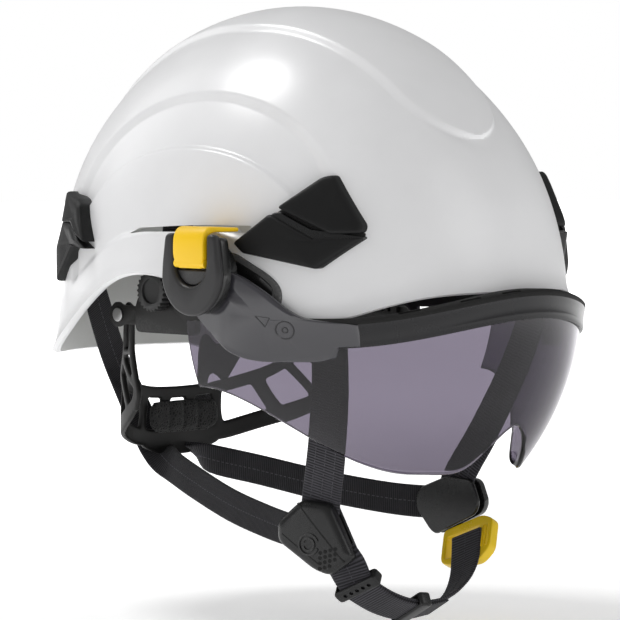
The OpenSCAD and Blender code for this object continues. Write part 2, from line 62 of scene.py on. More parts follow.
SIDES = (("right", False), ("left", True))
JOINTS = {joint["name"]: joint for joint in frame["joints"]}


def joint_place(name):
    """Where a joint turns, in millimetres."""
    return Vector(JOINTS[name]["pos_m"]) / MM


# Camera, lights and floor ------------------------------------------------

TARGET = Vector((0, 0, -10)) * MM
AZIMUTH = math.radians(-44)
ELEVATION = math.radians(3)
DISTANCE = 2.0
VIEW_WIDTH = 0.302
SENSOR = 36.0


def direction(azimuth, elevation):
    """Unit vector from the object towards something at that azimuth and elevation."""
    level = math.cos(elevation)
    return Vector((math.sin(azimuth) * level, -math.cos(azimuth) * level, math.sin(elevation)))


def add_camera():
    data = bpy.data.cameras.new("camera")
    data.sensor_width = SENSOR
    data.lens = SENSOR * DISTANCE / VIEW_WIDTH
    data.clip_end = 50
    camera = bpy.data.objects.new("camera", data)
    bpy.context.scene.collection.objects.link(camera)
    camera.location = TARGET + direction(AZIMUTH, ELEVATION) * DISTANCE
    camera.rotation_euler = (TARGET - camera.location).to_track_quat("-Z", "Y").to_euler()
    bpy.context.scene.camera = camera


def add_light(name, azimuth, elevation, distance, size, power, shine=1.0):
    data = bpy.data.lights.new(name, "AREA")
    data.shape = "DISK"
    data.size = size
    data.energy = power
    data.specular_factor = shine
    lamp = bpy.data.objects.new(name, data)
    bpy.context.scene.collection.objects.link(lamp)
    lamp.location = TARGET + direction(math.radians(azimuth), math.radians(elevation)) * distance
    lamp.rotation_euler = (TARGET - lamp.location).to_track_quat("-Z", "Y").to_euler()


AMBIENT = 0.33


def add_studio():
    world = bpy.data.worlds.new("studio")
    world.use_nodes = True
    bench = Bench(world.node_tree)
    seen = bench.add("ShaderNodeLightPath").outputs
    straight = bench.math("MAXIMUM", seen["Is Camera Ray"], seen["Is Transmission Ray"])
    backdrop = world.node_tree.nodes["Background"]
    backdrop.inputs["Color"].default_value = (1, 1, 1, 1)
    strength = bench.math("ADD", AMBIENT, bench.math("MULTIPLY", straight, 1.0 - AMBIENT))
    world.node_tree.links.new(strength, backdrop.inputs["Strength"])
    bpy.context.scene.world = world
    bpy.context.scene.view_settings.view_transform = "Standard"
    add_light("key_overhead", -150, 62, 1.5, 0.5, 10.0, 0.15)
    add_light("fill_front", 20, 30, 1.9, 1.2, 4.5, 0.1)
    add_light("rim_rear", -170, 30, 1.7, 0.8, 2.0, 0.3)
    add_light("side_near", -100, 8, 1.9, 0.5, 1.2, 0.5)


# Node groups --------------------------------------------------------------

class Bench:
    """Adds and links the nodes of one tree in few words."""

    def __init__(self, tree):
        self.tree = tree

    def add(self, kind, settings=None, **inputs):
        node = self.tree.nodes.new(kind)
        for key, value in (settings or {}).items():
            setattr(node, key, value)
        for key, value in inputs.items():
            numbered = key.startswith("i") and key[1:].isdigit()
            socket = node.inputs[int(key[1:]) if numbered else key]
            if isinstance(value, bpy.types.NodeSocket):
                self.tree.links.new(value, socket)
            else:
                socket.default_value = value
        return node

    def math(self, operation, a, b=0.0):
        return self.add("ShaderNodeMath", {"operation": operation}, i0=a, i1=b).outputs[0]

    def noise(self, vector, scale, detail=3.0):
        return self.add("ShaderNodeTexNoise", None, Vector=vector, Scale=scale, Detail=detail).outputs["Fac"]

    def ramp(self, value, low, high):
        """Value mapped smoothly from low..high to 0..1."""
        settings = {"interpolation_type": "SMOOTHSTEP"}
        return self.add("ShaderNodeMapRange", settings, Value=value,
                        **{"From Min": low, "From Max": high}).outputs[0]

    def mix(self, factor, a, b):
        return self.add("ShaderNodeMix", {"data_type": "RGBA"}, i0=factor, i6=a, i7=b).outputs[2]


def start_group(name, inputs, outputs):
    tree = bpy.data.node_groups.new(name, "ShaderNodeTree")
    for label, kind, value in inputs:
        tree.interface.new_socket(label, in_out="INPUT", socket_type=kind).default_value = value
    for label, kind in outputs:
        tree.interface.new_socket(label, in_out="OUTPUT", socket_type=kind)
    return Bench(tree), tree.nodes.new("NodeGroupInput").outputs, tree.nodes.new("NodeGroupOutput").inputs


FLOAT = "NodeSocketFloat"
COLOR = "NodeSocketColor"


def build_moulding():
    """Moulded plastic: fine grain, broad unevenness of tone and gloss, and edges rubbed paler."""
    bench, given, out = start_group("moulding", [("Tone", COLOR, (0.5, 0.5, 0.5, 1)),
        ("Rubbed Tone", COLOR, (0.6, 0.6, 0.6, 1)), ("Roughness", FLOAT, 0.4), ("Grain Size", FLOAT, 0.5),
        ("Grain Depth", FLOAT, 0.3), ("Wear", FLOAT, 0.4)],
        [("Color", COLOR), ("Roughness", FLOAT), ("Height", FLOAT)])
    link = bench.tree.links.new
    place = bench.add("ShaderNodeTexCoord").outputs["Object"]
    scale = bench.math("DIVIDE", 1000.0, given["Grain Size"])
    grain = bench.noise(place, scale, 2.0)
    broad = bench.noise(place, 22.0, 4.0)
    specks = bench.noise(place, 900.0, 3.0)
    bent = bench.add("ShaderNodeNewGeometry").outputs["Pointiness"]
    edge = bench.ramp(bent, 0.52, 0.60)
    worn = bench.math("MULTIPLY", bench.math("MULTIPLY", edge, bench.ramp(specks, 0.35, 0.7)), given["Wear"])
    shade = bench.math("ADD", 0.93, bench.math("MULTIPLY", broad, 0.14))
    toned = bench.add("ShaderNodeVectorMath", {"operation": "SCALE"}, i0=given["Tone"],
                      Scale=shade).outputs[0]
    link(bench.mix(worn, toned, given["Rubbed Tone"]), out["Color"])
    uneven = bench.math("MULTIPLY", bench.math("SUBTRACT", broad, 0.5), 0.22)
    fine = bench.math("MULTIPLY", bench.math("SUBTRACT", grain, 0.5), given["Grain Depth"])
    link(bench.math("ADD", given["Roughness"], bench.math("ADD", uneven, bench.math("MULTIPLY", fine, 0.3))),
         out["Roughness"])
    link(fine, out["Height"])
    return bench.tree


def build_weave():
    """Woven webbing from the map laid along each strap: yarns across, cords along, and painted highlight on
    the rib crests with painted shade in the troughs.
    """
    bench, given, out = start_group("weave", [("Tone", COLOR, (0.05, 0.05, 0.06, 1)),
        ("Light Tone", COLOR, (0.1, 0.1, 0.12, 1)), ("Pitch", FLOAT, 1.3), ("Yarn", FLOAT, 0.55)],
        [("Color", COLOR), ("Height", FLOAT)])
    link = bench.tree.links.new
    split = bench.add("ShaderNodeSeparateXYZ", None,
                      Vector=bench.add("ShaderNodeTexCoord").outputs["UV"]).outputs
    across = bench.math("MULTIPLY", split["X"], 1000.0)
    along = bench.math("MULTIPLY", split["Y"], 1000.0)
    turn = 2 * math.pi
    columns = bench.math("SINE", bench.math("MULTIPLY", bench.math("DIVIDE", across, given["Yarn"]), turn))
    rows = bench.math("COSINE", bench.math("MULTIPLY", bench.math("DIVIDE", along, given["Pitch"]), turn))
    fibre = bench.noise(bench.add("ShaderNodeTexCoord").outputs["Object"], 2600.0, 2.0)
    broad = bench.noise(bench.add("ShaderNodeTexCoord").outputs["Object"], 60.0, 3.0)
    height = bench.math("ADD", bench.math("MULTIPLY", columns, 0.3), bench.math("MULTIPLY", fibre, 0.8))
    link(height, out["Height"])
    # Painted highlight and shade: the colour follows the ribs and yarns of the bump, crests lighter and
    # troughs darker, unevenly.
    lit = bench.math("MULTIPLY", bench.ramp(bench.math("ADD", rows, bench.math("MULTIPLY", columns, 0.5)),
                                            -0.9, 1.4),
                     bench.math("ADD", 0.35, broad))
    link(bench.mix(lit, given["Tone"], given["Light Tone"]), out["Color"])
    return bench.tree


def build_knit():
    """Knitted facing of the comfort pads: small open cells and a soft nap."""
    bench, given, out = start_group("knit", [("Tone", COLOR, (0.04, 0.04, 0.045, 1)),
        ("Light Tone", COLOR, (0.1, 0.1, 0.11, 1)), ("Cell", FLOAT, 1.6)],
        [("Color", COLOR), ("Height", FLOAT)])
    link = bench.tree.links.new
    place = bench.add("ShaderNodeTexCoord").outputs["Object"]
    cells = bench.add("ShaderNodeTexVoronoi", {"feature": "DISTANCE_TO_EDGE"}, Vector=place,
                      Scale=bench.math("DIVIDE", 1000.0, given["Cell"])).outputs["Distance"]
    yarn = bench.ramp(cells, 0.28, 0.06)
    nap = bench.noise(place, 3000.0, 2.0)
    link(bench.mix(bench.math("MULTIPLY", yarn, bench.math("ADD", nap, 0.3)), given["Tone"],
                   given["Light Tone"]),
         out["Color"])
    link(bench.math("ADD", yarn, bench.math("MULTIPLY", nap, 0.4)), out["Height"])
    return bench.tree


MOULDING = build_moulding()
WEAVE = build_weave()
KNIT = build_knit()


# Materials ----------------------------------------------------------------

def grey(level, tint=(1, 1, 1)):
    return tuple(level * t for t in tint) + (1,)


def start_material(name):
    material = bpy.data.materials.new(name)
    material.use_nodes = True
    shader = material.node_tree.nodes["Principled BSDF"]
    return material, Bench(material.node_tree), shader


def place_group(bench, tree, **inputs):
    node = bench.add("ShaderNodeGroup", {"node_tree": tree})
    for key, value in inputs.items():
        node.inputs[key.replace("_", " ")].default_value = value
    return node.outputs


def bump(bench, shader, height, depth_mm, strength=1.0):
    node = bench.add("ShaderNodeBump", None, Height=height, Strength=strength, Distance=depth_mm * MM)
    bench.tree.links.new(node.outputs[0], shader.inputs["Normal"])


def plastic(name, tone, rubbed, roughness, grain=0.45, depth=0.35, wear=0.4, coat=0.0, coat_rough=0.1,
            bump_mm=0.12,
            gloss=0.5):
    material, bench, shader = start_material(name)
    given = place_group(bench, MOULDING, Tone=tone, Rubbed_Tone=rubbed, Roughness=roughness, Grain_Size=grain,
                        Grain_Depth=depth, Wear=wear)
    link = bench.tree.links.new
    link(given["Color"], shader.inputs["Base Color"])
    link(given["Roughness"], shader.inputs["Roughness"])
    bump(bench, shader, given["Height"], bump_mm)
    shader.inputs["Coat Weight"].default_value = coat
    shader.inputs["Coat Roughness"].default_value = coat_rough
    shader.inputs["Specular IOR Level"].default_value = gloss
    return material


def woven(name, tone, light, pitch):
    material, bench, shader = start_material(name)
    given = place_group(bench, WEAVE, Tone=tone, Light_Tone=light, Pitch=pitch)
    bench.tree.links.new(given["Color"], shader.inputs["Base Color"])
    bump(bench, shader, given["Height"], 0.09)
    shader.inputs["Roughness"].default_value = 0.82
    shader.inputs["Sheen Weight"].default_value = 0.15
    shader.inputs["Specular IOR Level"].default_value = 0.25
    shader.inputs["Sheen Roughness"].default_value = 0.5
    return material


def knitted(name, tone, light, cell):
    material, bench, shader = start_material(name)
    given = place_group(bench, KNIT, Tone=tone, Light_Tone=light, Cell=cell)
    bench.tree.links.new(given["Color"], shader.inputs["Base Color"])
    bump(bench, shader, given["Height"], 0.25)
    shader.inputs["Roughness"].default_value = 0.9
    shader.inputs["Sheen Weight"].default_value = 0.12
    shader.inputs["Specular IOR Level"].default_value = 0.25
    return material


def tinted_sheet(name, tint):
    """Tinted polycarbonate: clear all through, with a very faint moulding ripple."""
    material, bench, shader = start_material(name)
    shader.inputs["Base Color"].default_value = tint
    shader.inputs["Roughness"].default_value = 0.01
    shader.inputs["IOR"].default_value = 1.45
    shader.inputs["Transmission Weight"].default_value = 1.0
    ripple = bench.noise(bench.add("ShaderNodeTexCoord").outputs["Object"], 30.0, 1.0)
    bump(bench, shader, ripple, 0.02, 0.25)
    return material


FLOOR_GLOW, FLOOR_NEAR, FLOOR_FAR = 0.42, 0.3, 1.6


def pale_floor():
    """A pale floor that brightens into the backdrop away from the helmet."""
    material = plastic("floor_pale", grey(0.93), grey(0.93), 0.6, 2.0, 0.05, 0.0)
    tree = material.node_tree
    bench, shader = Bench(tree), tree.nodes["Principled BSDF"]
    place = bench.add("ShaderNodeTexCoord").outputs["Object"]
    away = bench.add("ShaderNodeVectorMath", {"operation": "LENGTH"}, i0=place).outputs["Value"]
    brightest = 1 + FLOOR_GLOW
    glow = bench.mix(bench.ramp(away, FLOOR_NEAR, FLOOR_FAR), grey(FLOOR_GLOW / brightest), grey(1))
    tree.links.new(glow, shader.inputs["Emission Color"])
    shader.inputs["Emission Strength"].default_value = brightest
    return material


WARM = (1.0, 0.97, 0.95)
COOL = (0.96, 0.97, 1.0)
VIOLET = (0.93, 0.90, 1.05)
FINISH = {
    "shell_white": plastic("shell_white", grey(0.82, (1, 1, 1.01)), grey(0.86), 0.34, 0.9, 0.10, 0.15, 0.2,
                           0.2, 0.02),
    # The inner face: the same white plastic, matte, and painted darker as painted shade inside the shell.
    "shell_inside_painted_shade": plastic("shell_inside_painted_shade", grey(0.66, (0.99, 1, 0.97)), grey(0.7), 0.45, 0.6, 0.2, 0.1, 0.0,
                            0.2, 0.03),
    "clip_black": plastic("clip_black", grey(0.007, COOL), grey(0.035), 0.50, 0.35, 0.5, 0.5, gloss=0.25),
    "pod_charcoal": plastic("pod_charcoal", grey(0.028, (1, 0.98, 1.02)), grey(0.06), 0.40, 0.3, 0.25, 0.35,
                            gloss=0.35),
    "hub_black": plastic("hub_black", grey(0.008), grey(0.03), 0.28, 0.4, 0.15, 0.3, 0.3),
    "seal_black": plastic("seal_black", grey(0.008, WARM), grey(0.03), 0.72, 0.5, 0.8, 0.3, gloss=0.3),
    "base_edge": plastic("base_edge", grey(0.075), grey(0.2), 0.8, 0.55, 1.6, 0.9, bump_mm=0.3),
    "latch_yellow": plastic("latch_yellow", (1.0, 0.62, 0.0, 1), (1.0, 0.70, 0.05, 1), 0.45, 0.4, 0.3, 0.4),
    "buckle_yellow": plastic("buckle_yellow", (1.0, 0.68, 0.004, 1), (1.0, 0.76, 0.08, 1), 0.30, 0.5, 0.15,
                             0.4, 0.3),
    "fitting_black": plastic("fitting_black", grey(0.012, COOL), grey(0.06), 0.28, 0.4, 0.25, 0.5,
                             gloss=0.45),
    "nylon_charcoal": plastic("nylon_charcoal", grey(0.010, WARM), grey(0.04), 0.48, 0.5, 0.3, 0.5,
                              gloss=0.3),
    "wheel_black": plastic("wheel_black", grey(0.02), grey(0.09), 0.5, 0.4, 0.4, 0.9),
    "pin_steel": plastic("pin_steel", grey(0.45), grey(0.6), 0.35, 0.3, 0.3, 0.6),
    "smoke_lens": tinted_sheet("smoke_lens", (0.125, 0.108, 0.145, 1)),
    "smoke_frame": plastic("smoke_frame", grey(0.045, VIOLET), grey(0.10, VIOLET), 0.22, 0.6, 0.08, 0.3, 0.4,
                           0.08),
    # Each webbing's second tone is the painted highlight on its rib crests.
    "webbing_front": woven("webbing_front", grey(0.014, VIOLET), grey(0.095, VIOLET), 1.4),
    "webbing_dark": woven("webbing_dark", grey(0.007, VIOLET), grey(0.045, VIOLET), 1.1),
    "thread": plastic("thread", grey(0.07, VIOLET), grey(0.12), 0.8, 0.3, 0.6, 0.6),
    "thread_light": plastic("thread_light", grey(0.16), grey(0.3), 0.8, 0.3, 0.6, 0.6),
    "foam_fabric": knitted("foam_fabric", grey(0.008), grey(0.035), 1.5),
    "engraving": plastic("engraving", grey(0.02, VIOLET), grey(0.04), 0.5),
    "floor_pale": pale_floor(),
    "smoke_brow": plastic("smoke_brow", grey(0.010, VIOLET), grey(0.05, VIOLET), 0.26, 0.6, 0.08, 0.3, 0.1,
                          0.1,
                          gloss=0.3),
    # Near-black for the clip's recess floor and the adjuster's parting seams; its discs on the adjuster's
    # cover are painted shade for holes.
    "socket_dark": plastic("socket_dark", grey(0.004), grey(0.02), 0.8),
}
FINISH["pin_steel"].node_tree.nodes["Principled BSDF"].inputs["Metallic"].default_value = 1.0


# Mesh helpers -------------------------------------------------------------

def ease(u):
    u = min(1.0, max(0.0, u))
    return (1 - math.cos(math.pi * u)) / 2


def mix(a, b, u):
    return a + (b - a) * u


def smooth_line(points, steps):
    """Points of a smooth curve through given points, steps to each stretch."""
    found = []
    last = len(points) - 1
    for i in range(last):
        a, b, c, d = (Vector(points[min(last, max(0, i + k))]) for k in (-1, 0, 1, 2))
        for k in range(steps):
            u = k / steps
            found.append(0.5 * (2 * b + (c - a) * u + (2 * a - 5 * b + 4 * c - d) * u * u
                                + (3 * b - a - 3 * c + d) * u * u * u))
    return found + [Vector(points[last])]


def rounded(points, radius, steps=5):
    """A closed outline with its corners rounded; radius is one number or one for each corner."""
    n = len(points)
    found = []
    for i in range(n):
        p, a, b = (Vector(points[k % n]) for k in (i, i - 1, i + 1))
        reach = radius[i] if isinstance(radius, (list, tuple)) else radius
        reach = min(reach, (a - p).length * 0.48, (b - p).length * 0.48)
        start, end = p + (a - p).normalized() * reach, p + (b - p).normalized() * reach
        for k in range(steps + 1):
            u = k / steps
            found.append(start * (1 - u) ** 2 + p * 2 * u * (1 - u) + end * u ** 2)
    return found


def arc(centre, radius, start, end, steps):
    """Points of a circular arc in a plane, angles in degrees."""
    turns = [math.radians(mix(start, end, k / steps)) for k in range(steps + 1)]
    return [Vector((centre[0] + radius * math.cos(t), centre[1] + radius * math.sin(t))) for t in turns]


def make(name, points, faces, finish, sharp=38):
    """A mesh object from millimetre points, smooth except over edges sharper than that many degrees."""
    mesh = bpy.data.meshes.new(name)
    mesh.from_pydata([Vector(p) * MM for p in points], [], faces)
    mesh.validate()
    obj = bpy.data.objects.new(name, mesh)
    bpy.context.scene.collection.objects.link(obj)
    mesh.materials.append(FINISH[finish])
    soften(obj, sharp)
    return obj


def soften(obj, sharp=38):
    obj.data.shade_smooth()
    obj.data.set_sharp_from_angle(angle=math.radians(sharp))


def outward(obj):
    """Turns every face outwards."""
    bm = bmesh.new()
    bm.from_mesh(obj.data)
    bmesh.ops.recalc_face_normals(bm, faces=bm.faces)
    bm.to_mesh(obj.data)
    bm.free()


def settle(obj, sharp=38):
    """Applies the modifiers, so that the mesh is final."""
    bpy.context.view_layer.update()
    graph = bpy.context.evaluated_depsgraph_get()
    mesh = bpy.data.meshes.new_from_object(obj.evaluated_get(graph), depsgraph=graph)
    old = obj.data
    obj.modifiers.clear()
    obj.data = mesh
    bpy.data.meshes.remove(old)
    soften(obj, sharp)
    return obj


def bevel(obj, width, segments=3, angle=35, sharp=38):
    edge = obj.modifiers.new("bevel", "BEVEL")
    edge.width = width * MM
    edge.segments = segments
    edge.limit_method = "ANGLE"
    edge.angle_limit = math.radians(angle)
    edge.miter_outer = "MITER_ARC"
    return settle(obj, sharp)


def combine(obj, cutter, operation):
    """Cuts the cutter out of a piece, or joins it on, and removes it."""
    change = obj.modifiers.new("combine", "BOOLEAN")
    change.operation = operation
    change.object = cutter
    change.solver = "EXACT"
    settle(obj)
    bpy.data.objects.remove(cutter)
    return obj


def cut(obj, cutter):
    return combine(obj, cutter, "DIFFERENCE")


def prism(name, outline, low, high, finish, place=Matrix()):
    """A straight solid over a flat outline, from height low to high, then moved by place."""
    n = len(outline)
    points = [place @ Vector((p[0], p[1], z)) for z in (low, high) for p in outline]
    sides = [(k, (k + 1) % n, n + (k + 1) % n, n + k) for k in range(n)]
    obj = make(name, points, sides + [tuple(range(n - 1, -1, -1)), tuple(range(n, 2 * n))], finish)
    outward(obj)
    return obj


def ring_of(radius, steps=32, centre=(0, 0)):
    return arc(centre, radius, 0, 360, steps)[:-1]


def loft(name, rings, finish, closed=True, capped=True, sharp=38):
    """Skins rings of equal length, one after another."""
    k = len(rings[0])
    points = [p for ring in rings for p in ring]
    around = k if closed else k - 1
    faces = [(i * k + j, i * k + (j + 1) % k, (i + 1) * k + (j + 1) % k, (i + 1) * k + j)
             for i in range(len(rings) - 1) for j in range(around)]
    if capped:
        faces += [tuple(range(k - 1, -1, -1)), tuple(range((len(rings) - 1) * k, len(rings) * k))]
    obj = make(name, points, faces, finish, sharp)
    if capped:
        outward(obj)
    return obj


def merge(name, pieces):
    """Joins pieces into one object of that name, keeping each one's finish."""
    with bpy.context.temp_override(active_object=pieces[0], selected_editable_objects=pieces):
        bpy.ops.object.join()
    pieces[0].name = name
    return pieces[0]


def mirrored(obj, name):
    """A left-hand copy of a finished right-hand piece."""
    mesh = obj.data.copy()
    mesh.transform(Matrix.Scale(-1, 4, (1, 0, 0)))
    mesh.flip_normals()
    twin = bpy.data.objects.new(name, mesh)
    bpy.context.scene.collection.objects.link(twin)
    return twin


def fuse(obj, voxel, relax=4):
    """Makes one moulded skin of crossing bars, with small fillets where they meet."""
    remesh = obj.modifiers.new("remesh", "REMESH")
    remesh.mode = "VOXEL"
    remesh.voxel_size = voxel * MM
    remesh.use_smooth_shade = True
    smooth = obj.modifiers.new("relax", "CORRECTIVE_SMOOTH")
    smooth.use_only_smooth = True
    smooth.iterations = relax
    return settle(obj, 60)


def fit(obj, body, slot, *nodes):
    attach(obj, body)
    if nodes:
        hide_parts(*nodes)
    return obj


def fit_pair(obj, stem, body, slot, *nodes):
    """Fits a right-hand piece and its left-hand copy; {side} in a name becomes right or left."""
    twin = mirrored(obj, stem.format(side="left"))
    obj.name = stem.format(side="right")
    for piece, side in ((obj, "right"), (twin, "left")):
        fit(piece, body.format(side=side), slot, *(node.format(side=side) for node in nodes))
    return obj, twin


# Outer shell --------------------------------------------------------------

SHELL_HALF_WIDTH = 104
SHELL_HALF_LENGTH = 137
SHELL_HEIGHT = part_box("outer_shell")[1].z / MM
SHELL_WALL = 2.8
PLAN_POWER = 2.1
CROWN_LEAN = 6
RIM_FRONT, RIM_TEMPLE, RIM_EAR, RIM_NAPE = 4, -10, 11, -33
TEMPLE_Y, EAR_Y, NAPE_Y = -84, 6, 121
SHELL_COLUMNS = 600
SHELL_ROWS = 220
INNER_ROWS = 60


def wave(u):
    """ease() for whole arrays."""
    return (1 - np.cos(np.pi * np.clip(u, 0, 1))) / 2


def rim_height(y):
    from_nose = (y + SHELL_HALF_LENGTH) / (TEMPLE_Y + SHELL_HALF_LENGTH)
    front = RIM_FRONT + (RIM_TEMPLE - RIM_FRONT) * wave(from_nose)
    middle = RIM_TEMPLE + (RIM_EAR - RIM_TEMPLE) * wave((y - TEMPLE_Y) / (EAR_Y - TEMPLE_Y))
    rear = RIM_EAR + (RIM_NAPE - RIM_EAR) * wave((y - EAR_Y) / (NAPE_Y - EAR_Y))
    return np.where(y < TEMPLE_Y, front, np.where(y < EAR_Y, middle, rear))


def shell_side(y, z):
    """Distance of the plain outer face from the middle plane, at one y and z."""
    t = max(z, 0) / SHELL_HEIGHT
    ring = math.sqrt(1 - t * t)
    s = abs(y - CROWN_LEAN * t) / (SHELL_HALF_LENGTH * ring)
    return SHELL_HALF_WIDTH * ring * (1 - min(s, 0.999) ** PLAN_POWER) ** (1 / PLAN_POWER)


ARCH_CENTRE, ARCH_OUTER, ARCH_INNER = (-7.5, 30), (87, 67), (82.3, 64.2)
BROW_CENTRE, BROW_OUTER, BROW_INNER = (-8, 20), (78, 52), (76.2, 50)
CHANNEL_DEPTH, BROW_STEP, SCOOP_DEPTH = 2.6, 1.9, 1.6
LEDGE_Y = (-140, -105, -90, -70, -56, -48, -31, 2, 16, 27, 39, 48, 60, 75, 90, 140)
LEDGE_Z = (29, 29, 27, 28, 29.5, 32, 34, 34, 32.3, 30, 25, 19.5, 12.5, 6, 2, -4)
LEDGE_HIGH = 4.6
LIP_HIGH, LIP_FLARE = 8.5, 1.5
SPINE_TIP, SPINE_TAIL = 33.6, 152
SPINE_NARROW, SPINE_WIDE, SPINE_RISE, SPINE_EDGE = 28, 41, 2.2, 5.0
SPINE_SINK = 1.6


def reach(y, z, centre, axes):
    return np.hypot((y - centre[0]) / axes[0], (z - centre[1]) / axes[1])


def step_between(outer, inner):
    """0 outside the outer line, 1 inside the inner one, straight between them."""
    return np.clip((1 - outer) / np.maximum((1 - outer) + (inner - 1), 1e-6), 0, 1) * (outer < 1)


def relief(x, y, z):
    """How far the moulded shapes stand out of the plain shell, in millimetres."""
    channel = step_between(reach(y, z, ARCH_CENTRE, ARCH_OUTER), reach(y, z, ARCH_CENTRE, ARCH_INNER))
    inner = reach(y, z, BROW_CENTRE, BROW_INNER)
    brow = step_between(reach(y, z, BROW_CENTRE, BROW_OUTER), inner)
    ledge = np.interp(y, LEDGE_Y, LEDGE_Z)
    scoop = wave((1 - inner) / 0.55)
    above = wave((z - ledge + LEDGE_HIGH) / LEDGE_HIGH)
    sides = (-CHANNEL_DEPTH * channel + brow * (BROW_STEP - SCOOP_DEPTH * scoop)) * above
    lip = LIP_FLARE * np.clip(1 - (z - rim_height(y)) / LIP_HIGH, 0, 1) ** 2
    turn = np.degrees(np.arctan2(z, -y))
    grown = np.clip((turn - SPINE_TIP) / (90 - SPINE_TIP), 0, 1)
    width = SPINE_NARROW + (SPINE_WIDE - SPINE_NARROW) * grown
    ends = np.clip(np.minimum(turn - SPINE_TIP, SPINE_TAIL - turn) / 13, 0, 1)
    width = width * np.sqrt(1 - (1 - ends) ** 2)
    spine = SPINE_RISE * wave((width - np.abs(x)) / SPINE_EDGE) * (ends > 0)
    return sides + lip + spine - SPINE_SINK * wave((z - 50) / 70)


def shell_grid(rows, inset):
    """Rows of points of the plain shell and their outward directions, from the rim to just under the pole."""
    angle = np.linspace(0, 2 * np.pi, SHELL_COLUMNS, endpoint=False)[None, :]
    rise = np.linspace(0, 1, rows + 1)[:-1, None]
    c, s = np.cos(angle), np.sin(angle)
    c = np.sign(c) * np.abs(c) ** (2 / PLAN_POWER)
    s = np.sign(s) * np.abs(s) ** (2 / PLAN_POWER)
    top = SHELL_HEIGHT - inset
    low = rim_height(s * SHELL_HALF_LENGTH)
    z = low + (top - low) * np.sin(np.pi / 2 * rise)
    t = np.maximum(z, 0) / top
    flare = 0.03 * (np.maximum(-z, 0) / -RIM_NAPE) ** 1.5
    ring = np.where(z > 0, np.sqrt(np.maximum(0, 1 - t * t)), 1 + flare)
    x = (SHELL_HALF_WIDTH - inset) * c * ring
    y = CROWN_LEAN * t + (SHELL_HALF_LENGTH - inset) * s * ring
    nx = np.sign(c) * np.abs(c) ** (PLAN_POWER - 1) / SHELL_HALF_WIDTH
    ny = np.sign(s) * np.abs(s) ** (PLAN_POWER - 1) / SHELL_HALF_LENGTH
    nz = t / SHELL_HEIGHT / np.maximum(ring, 0.02)
    length = np.sqrt(nx ** 2 + ny ** 2 + nz ** 2)
    return np.stack([x, y, z], -1), np.stack([nx / length, ny / length, nz / length], -1)


def dome_faces(first, rows, pole, inward):
    """Faces of a grid of rows that closes on a pole point."""
    faces = []
    n = SHELL_COLUMNS
    for r in range(rows):
        for k in range(n):
            a, b = first + r * n + k, first + r * n + (k + 1) % n
            face = (a, b, pole) if r == rows - 1 else (a, b, b + n, a + n)
            faces.append(face[::-1] if inward else face)
    return faces


SLOT_OUTLINE = [(-55, 31.0), (-22, 30.9), (9, 30.3), (20, 29.2), (14, 32.0), (-12, 33.5), (-30, 34.3),
                (-55, 34.3)]


def side_matrix(x):
    """Puts a flat (y, z) outline on the right side, its height growing outwards from that x."""
    return Matrix(((0, 0, -1, -x), (1, 0, 0, 0), (0, 1, 0, 0), (0, 0, 0, 1)))


def build_shell():
    outer, normals = shell_grid(SHELL_ROWS, 0)
    lift = relief(outer[..., 0], outer[..., 1], outer[..., 2])
    outer = outer + normals * lift[..., None]
    inner, inner_normals = shell_grid(INNER_ROWS, SHELL_WALL)
    sink = np.minimum(relief(inner[..., 0], inner[..., 1], inner[..., 2]), 0)
    sink[0] = 0
    inner = inner + inner_normals * sink[..., None]
    edge = (outer[0] + inner[0]) / 2 - np.array([0, 0, 0.9])
    n = SHELL_COLUMNS
    count = SHELL_ROWS * n
    ring = count + INNER_ROWS * n
    points = np.concatenate([outer.reshape(-1, 3), inner.reshape(-1, 3), edge])
    poles = [(0, CROWN_LEAN, SHELL_HEIGHT + SPINE_RISE - SPINE_SINK),
             (0, CROWN_LEAN, SHELL_HEIGHT - SHELL_WALL)]
    points = np.concatenate([points, poles])
    faces = dome_faces(0, SHELL_ROWS, len(points) - 2, False)
    first_inside = len(faces)
    faces += dome_faces(count, INNER_ROWS, len(points) - 1, True)
    last_inside = len(faces)
    for k in range(n):
        m = (k + 1) % n
        faces += [(m, k, ring + k, ring + m), (ring + m, ring + k, count + k, count + m)]
    shell = make("outer_shell_moulded", points, faces, "shell_white", 50)
    # The inner faces get the darker copy of the white: painted shade.
    shell.data.materials.append(FINISH["shell_inside_painted_shade"])
    for polygon in shell.data.polygons:
        if first_inside <= polygon.index < last_inside:
            polygon.material_index = 1
    for sign in (-1, 1):
        cutter = prism("slot_cutter", rounded(SLOT_OUTLINE, 1.2), 0, 20, "shell_inside_painted_shade", side_matrix(90))
        cutter.data.transform(Matrix.Scale(-sign, 4, (1, 0, 0)))
        outward(cutter)
        cut(shell, cutter)
    soften(shell, 42)
    fit(shell, "helmet", "shell_white", "outer_shell")


# Plates that lie on the shell ---------------------------------------------

def surface_point(y, z, rise):
    """A point over the right side of the shell."""
    return Vector((-shell_side(y, z) - rise, y + rise * 0.3 * y / SHELL_HALF_LENGTH, z))


def drawn_in(outline, by):
    """The outline shrunk towards its middle by a distance."""
    mid = sum(outline, Vector((0, 0))) / len(outline)
    return [p + (mid - p).normalized() * by for p in outline]


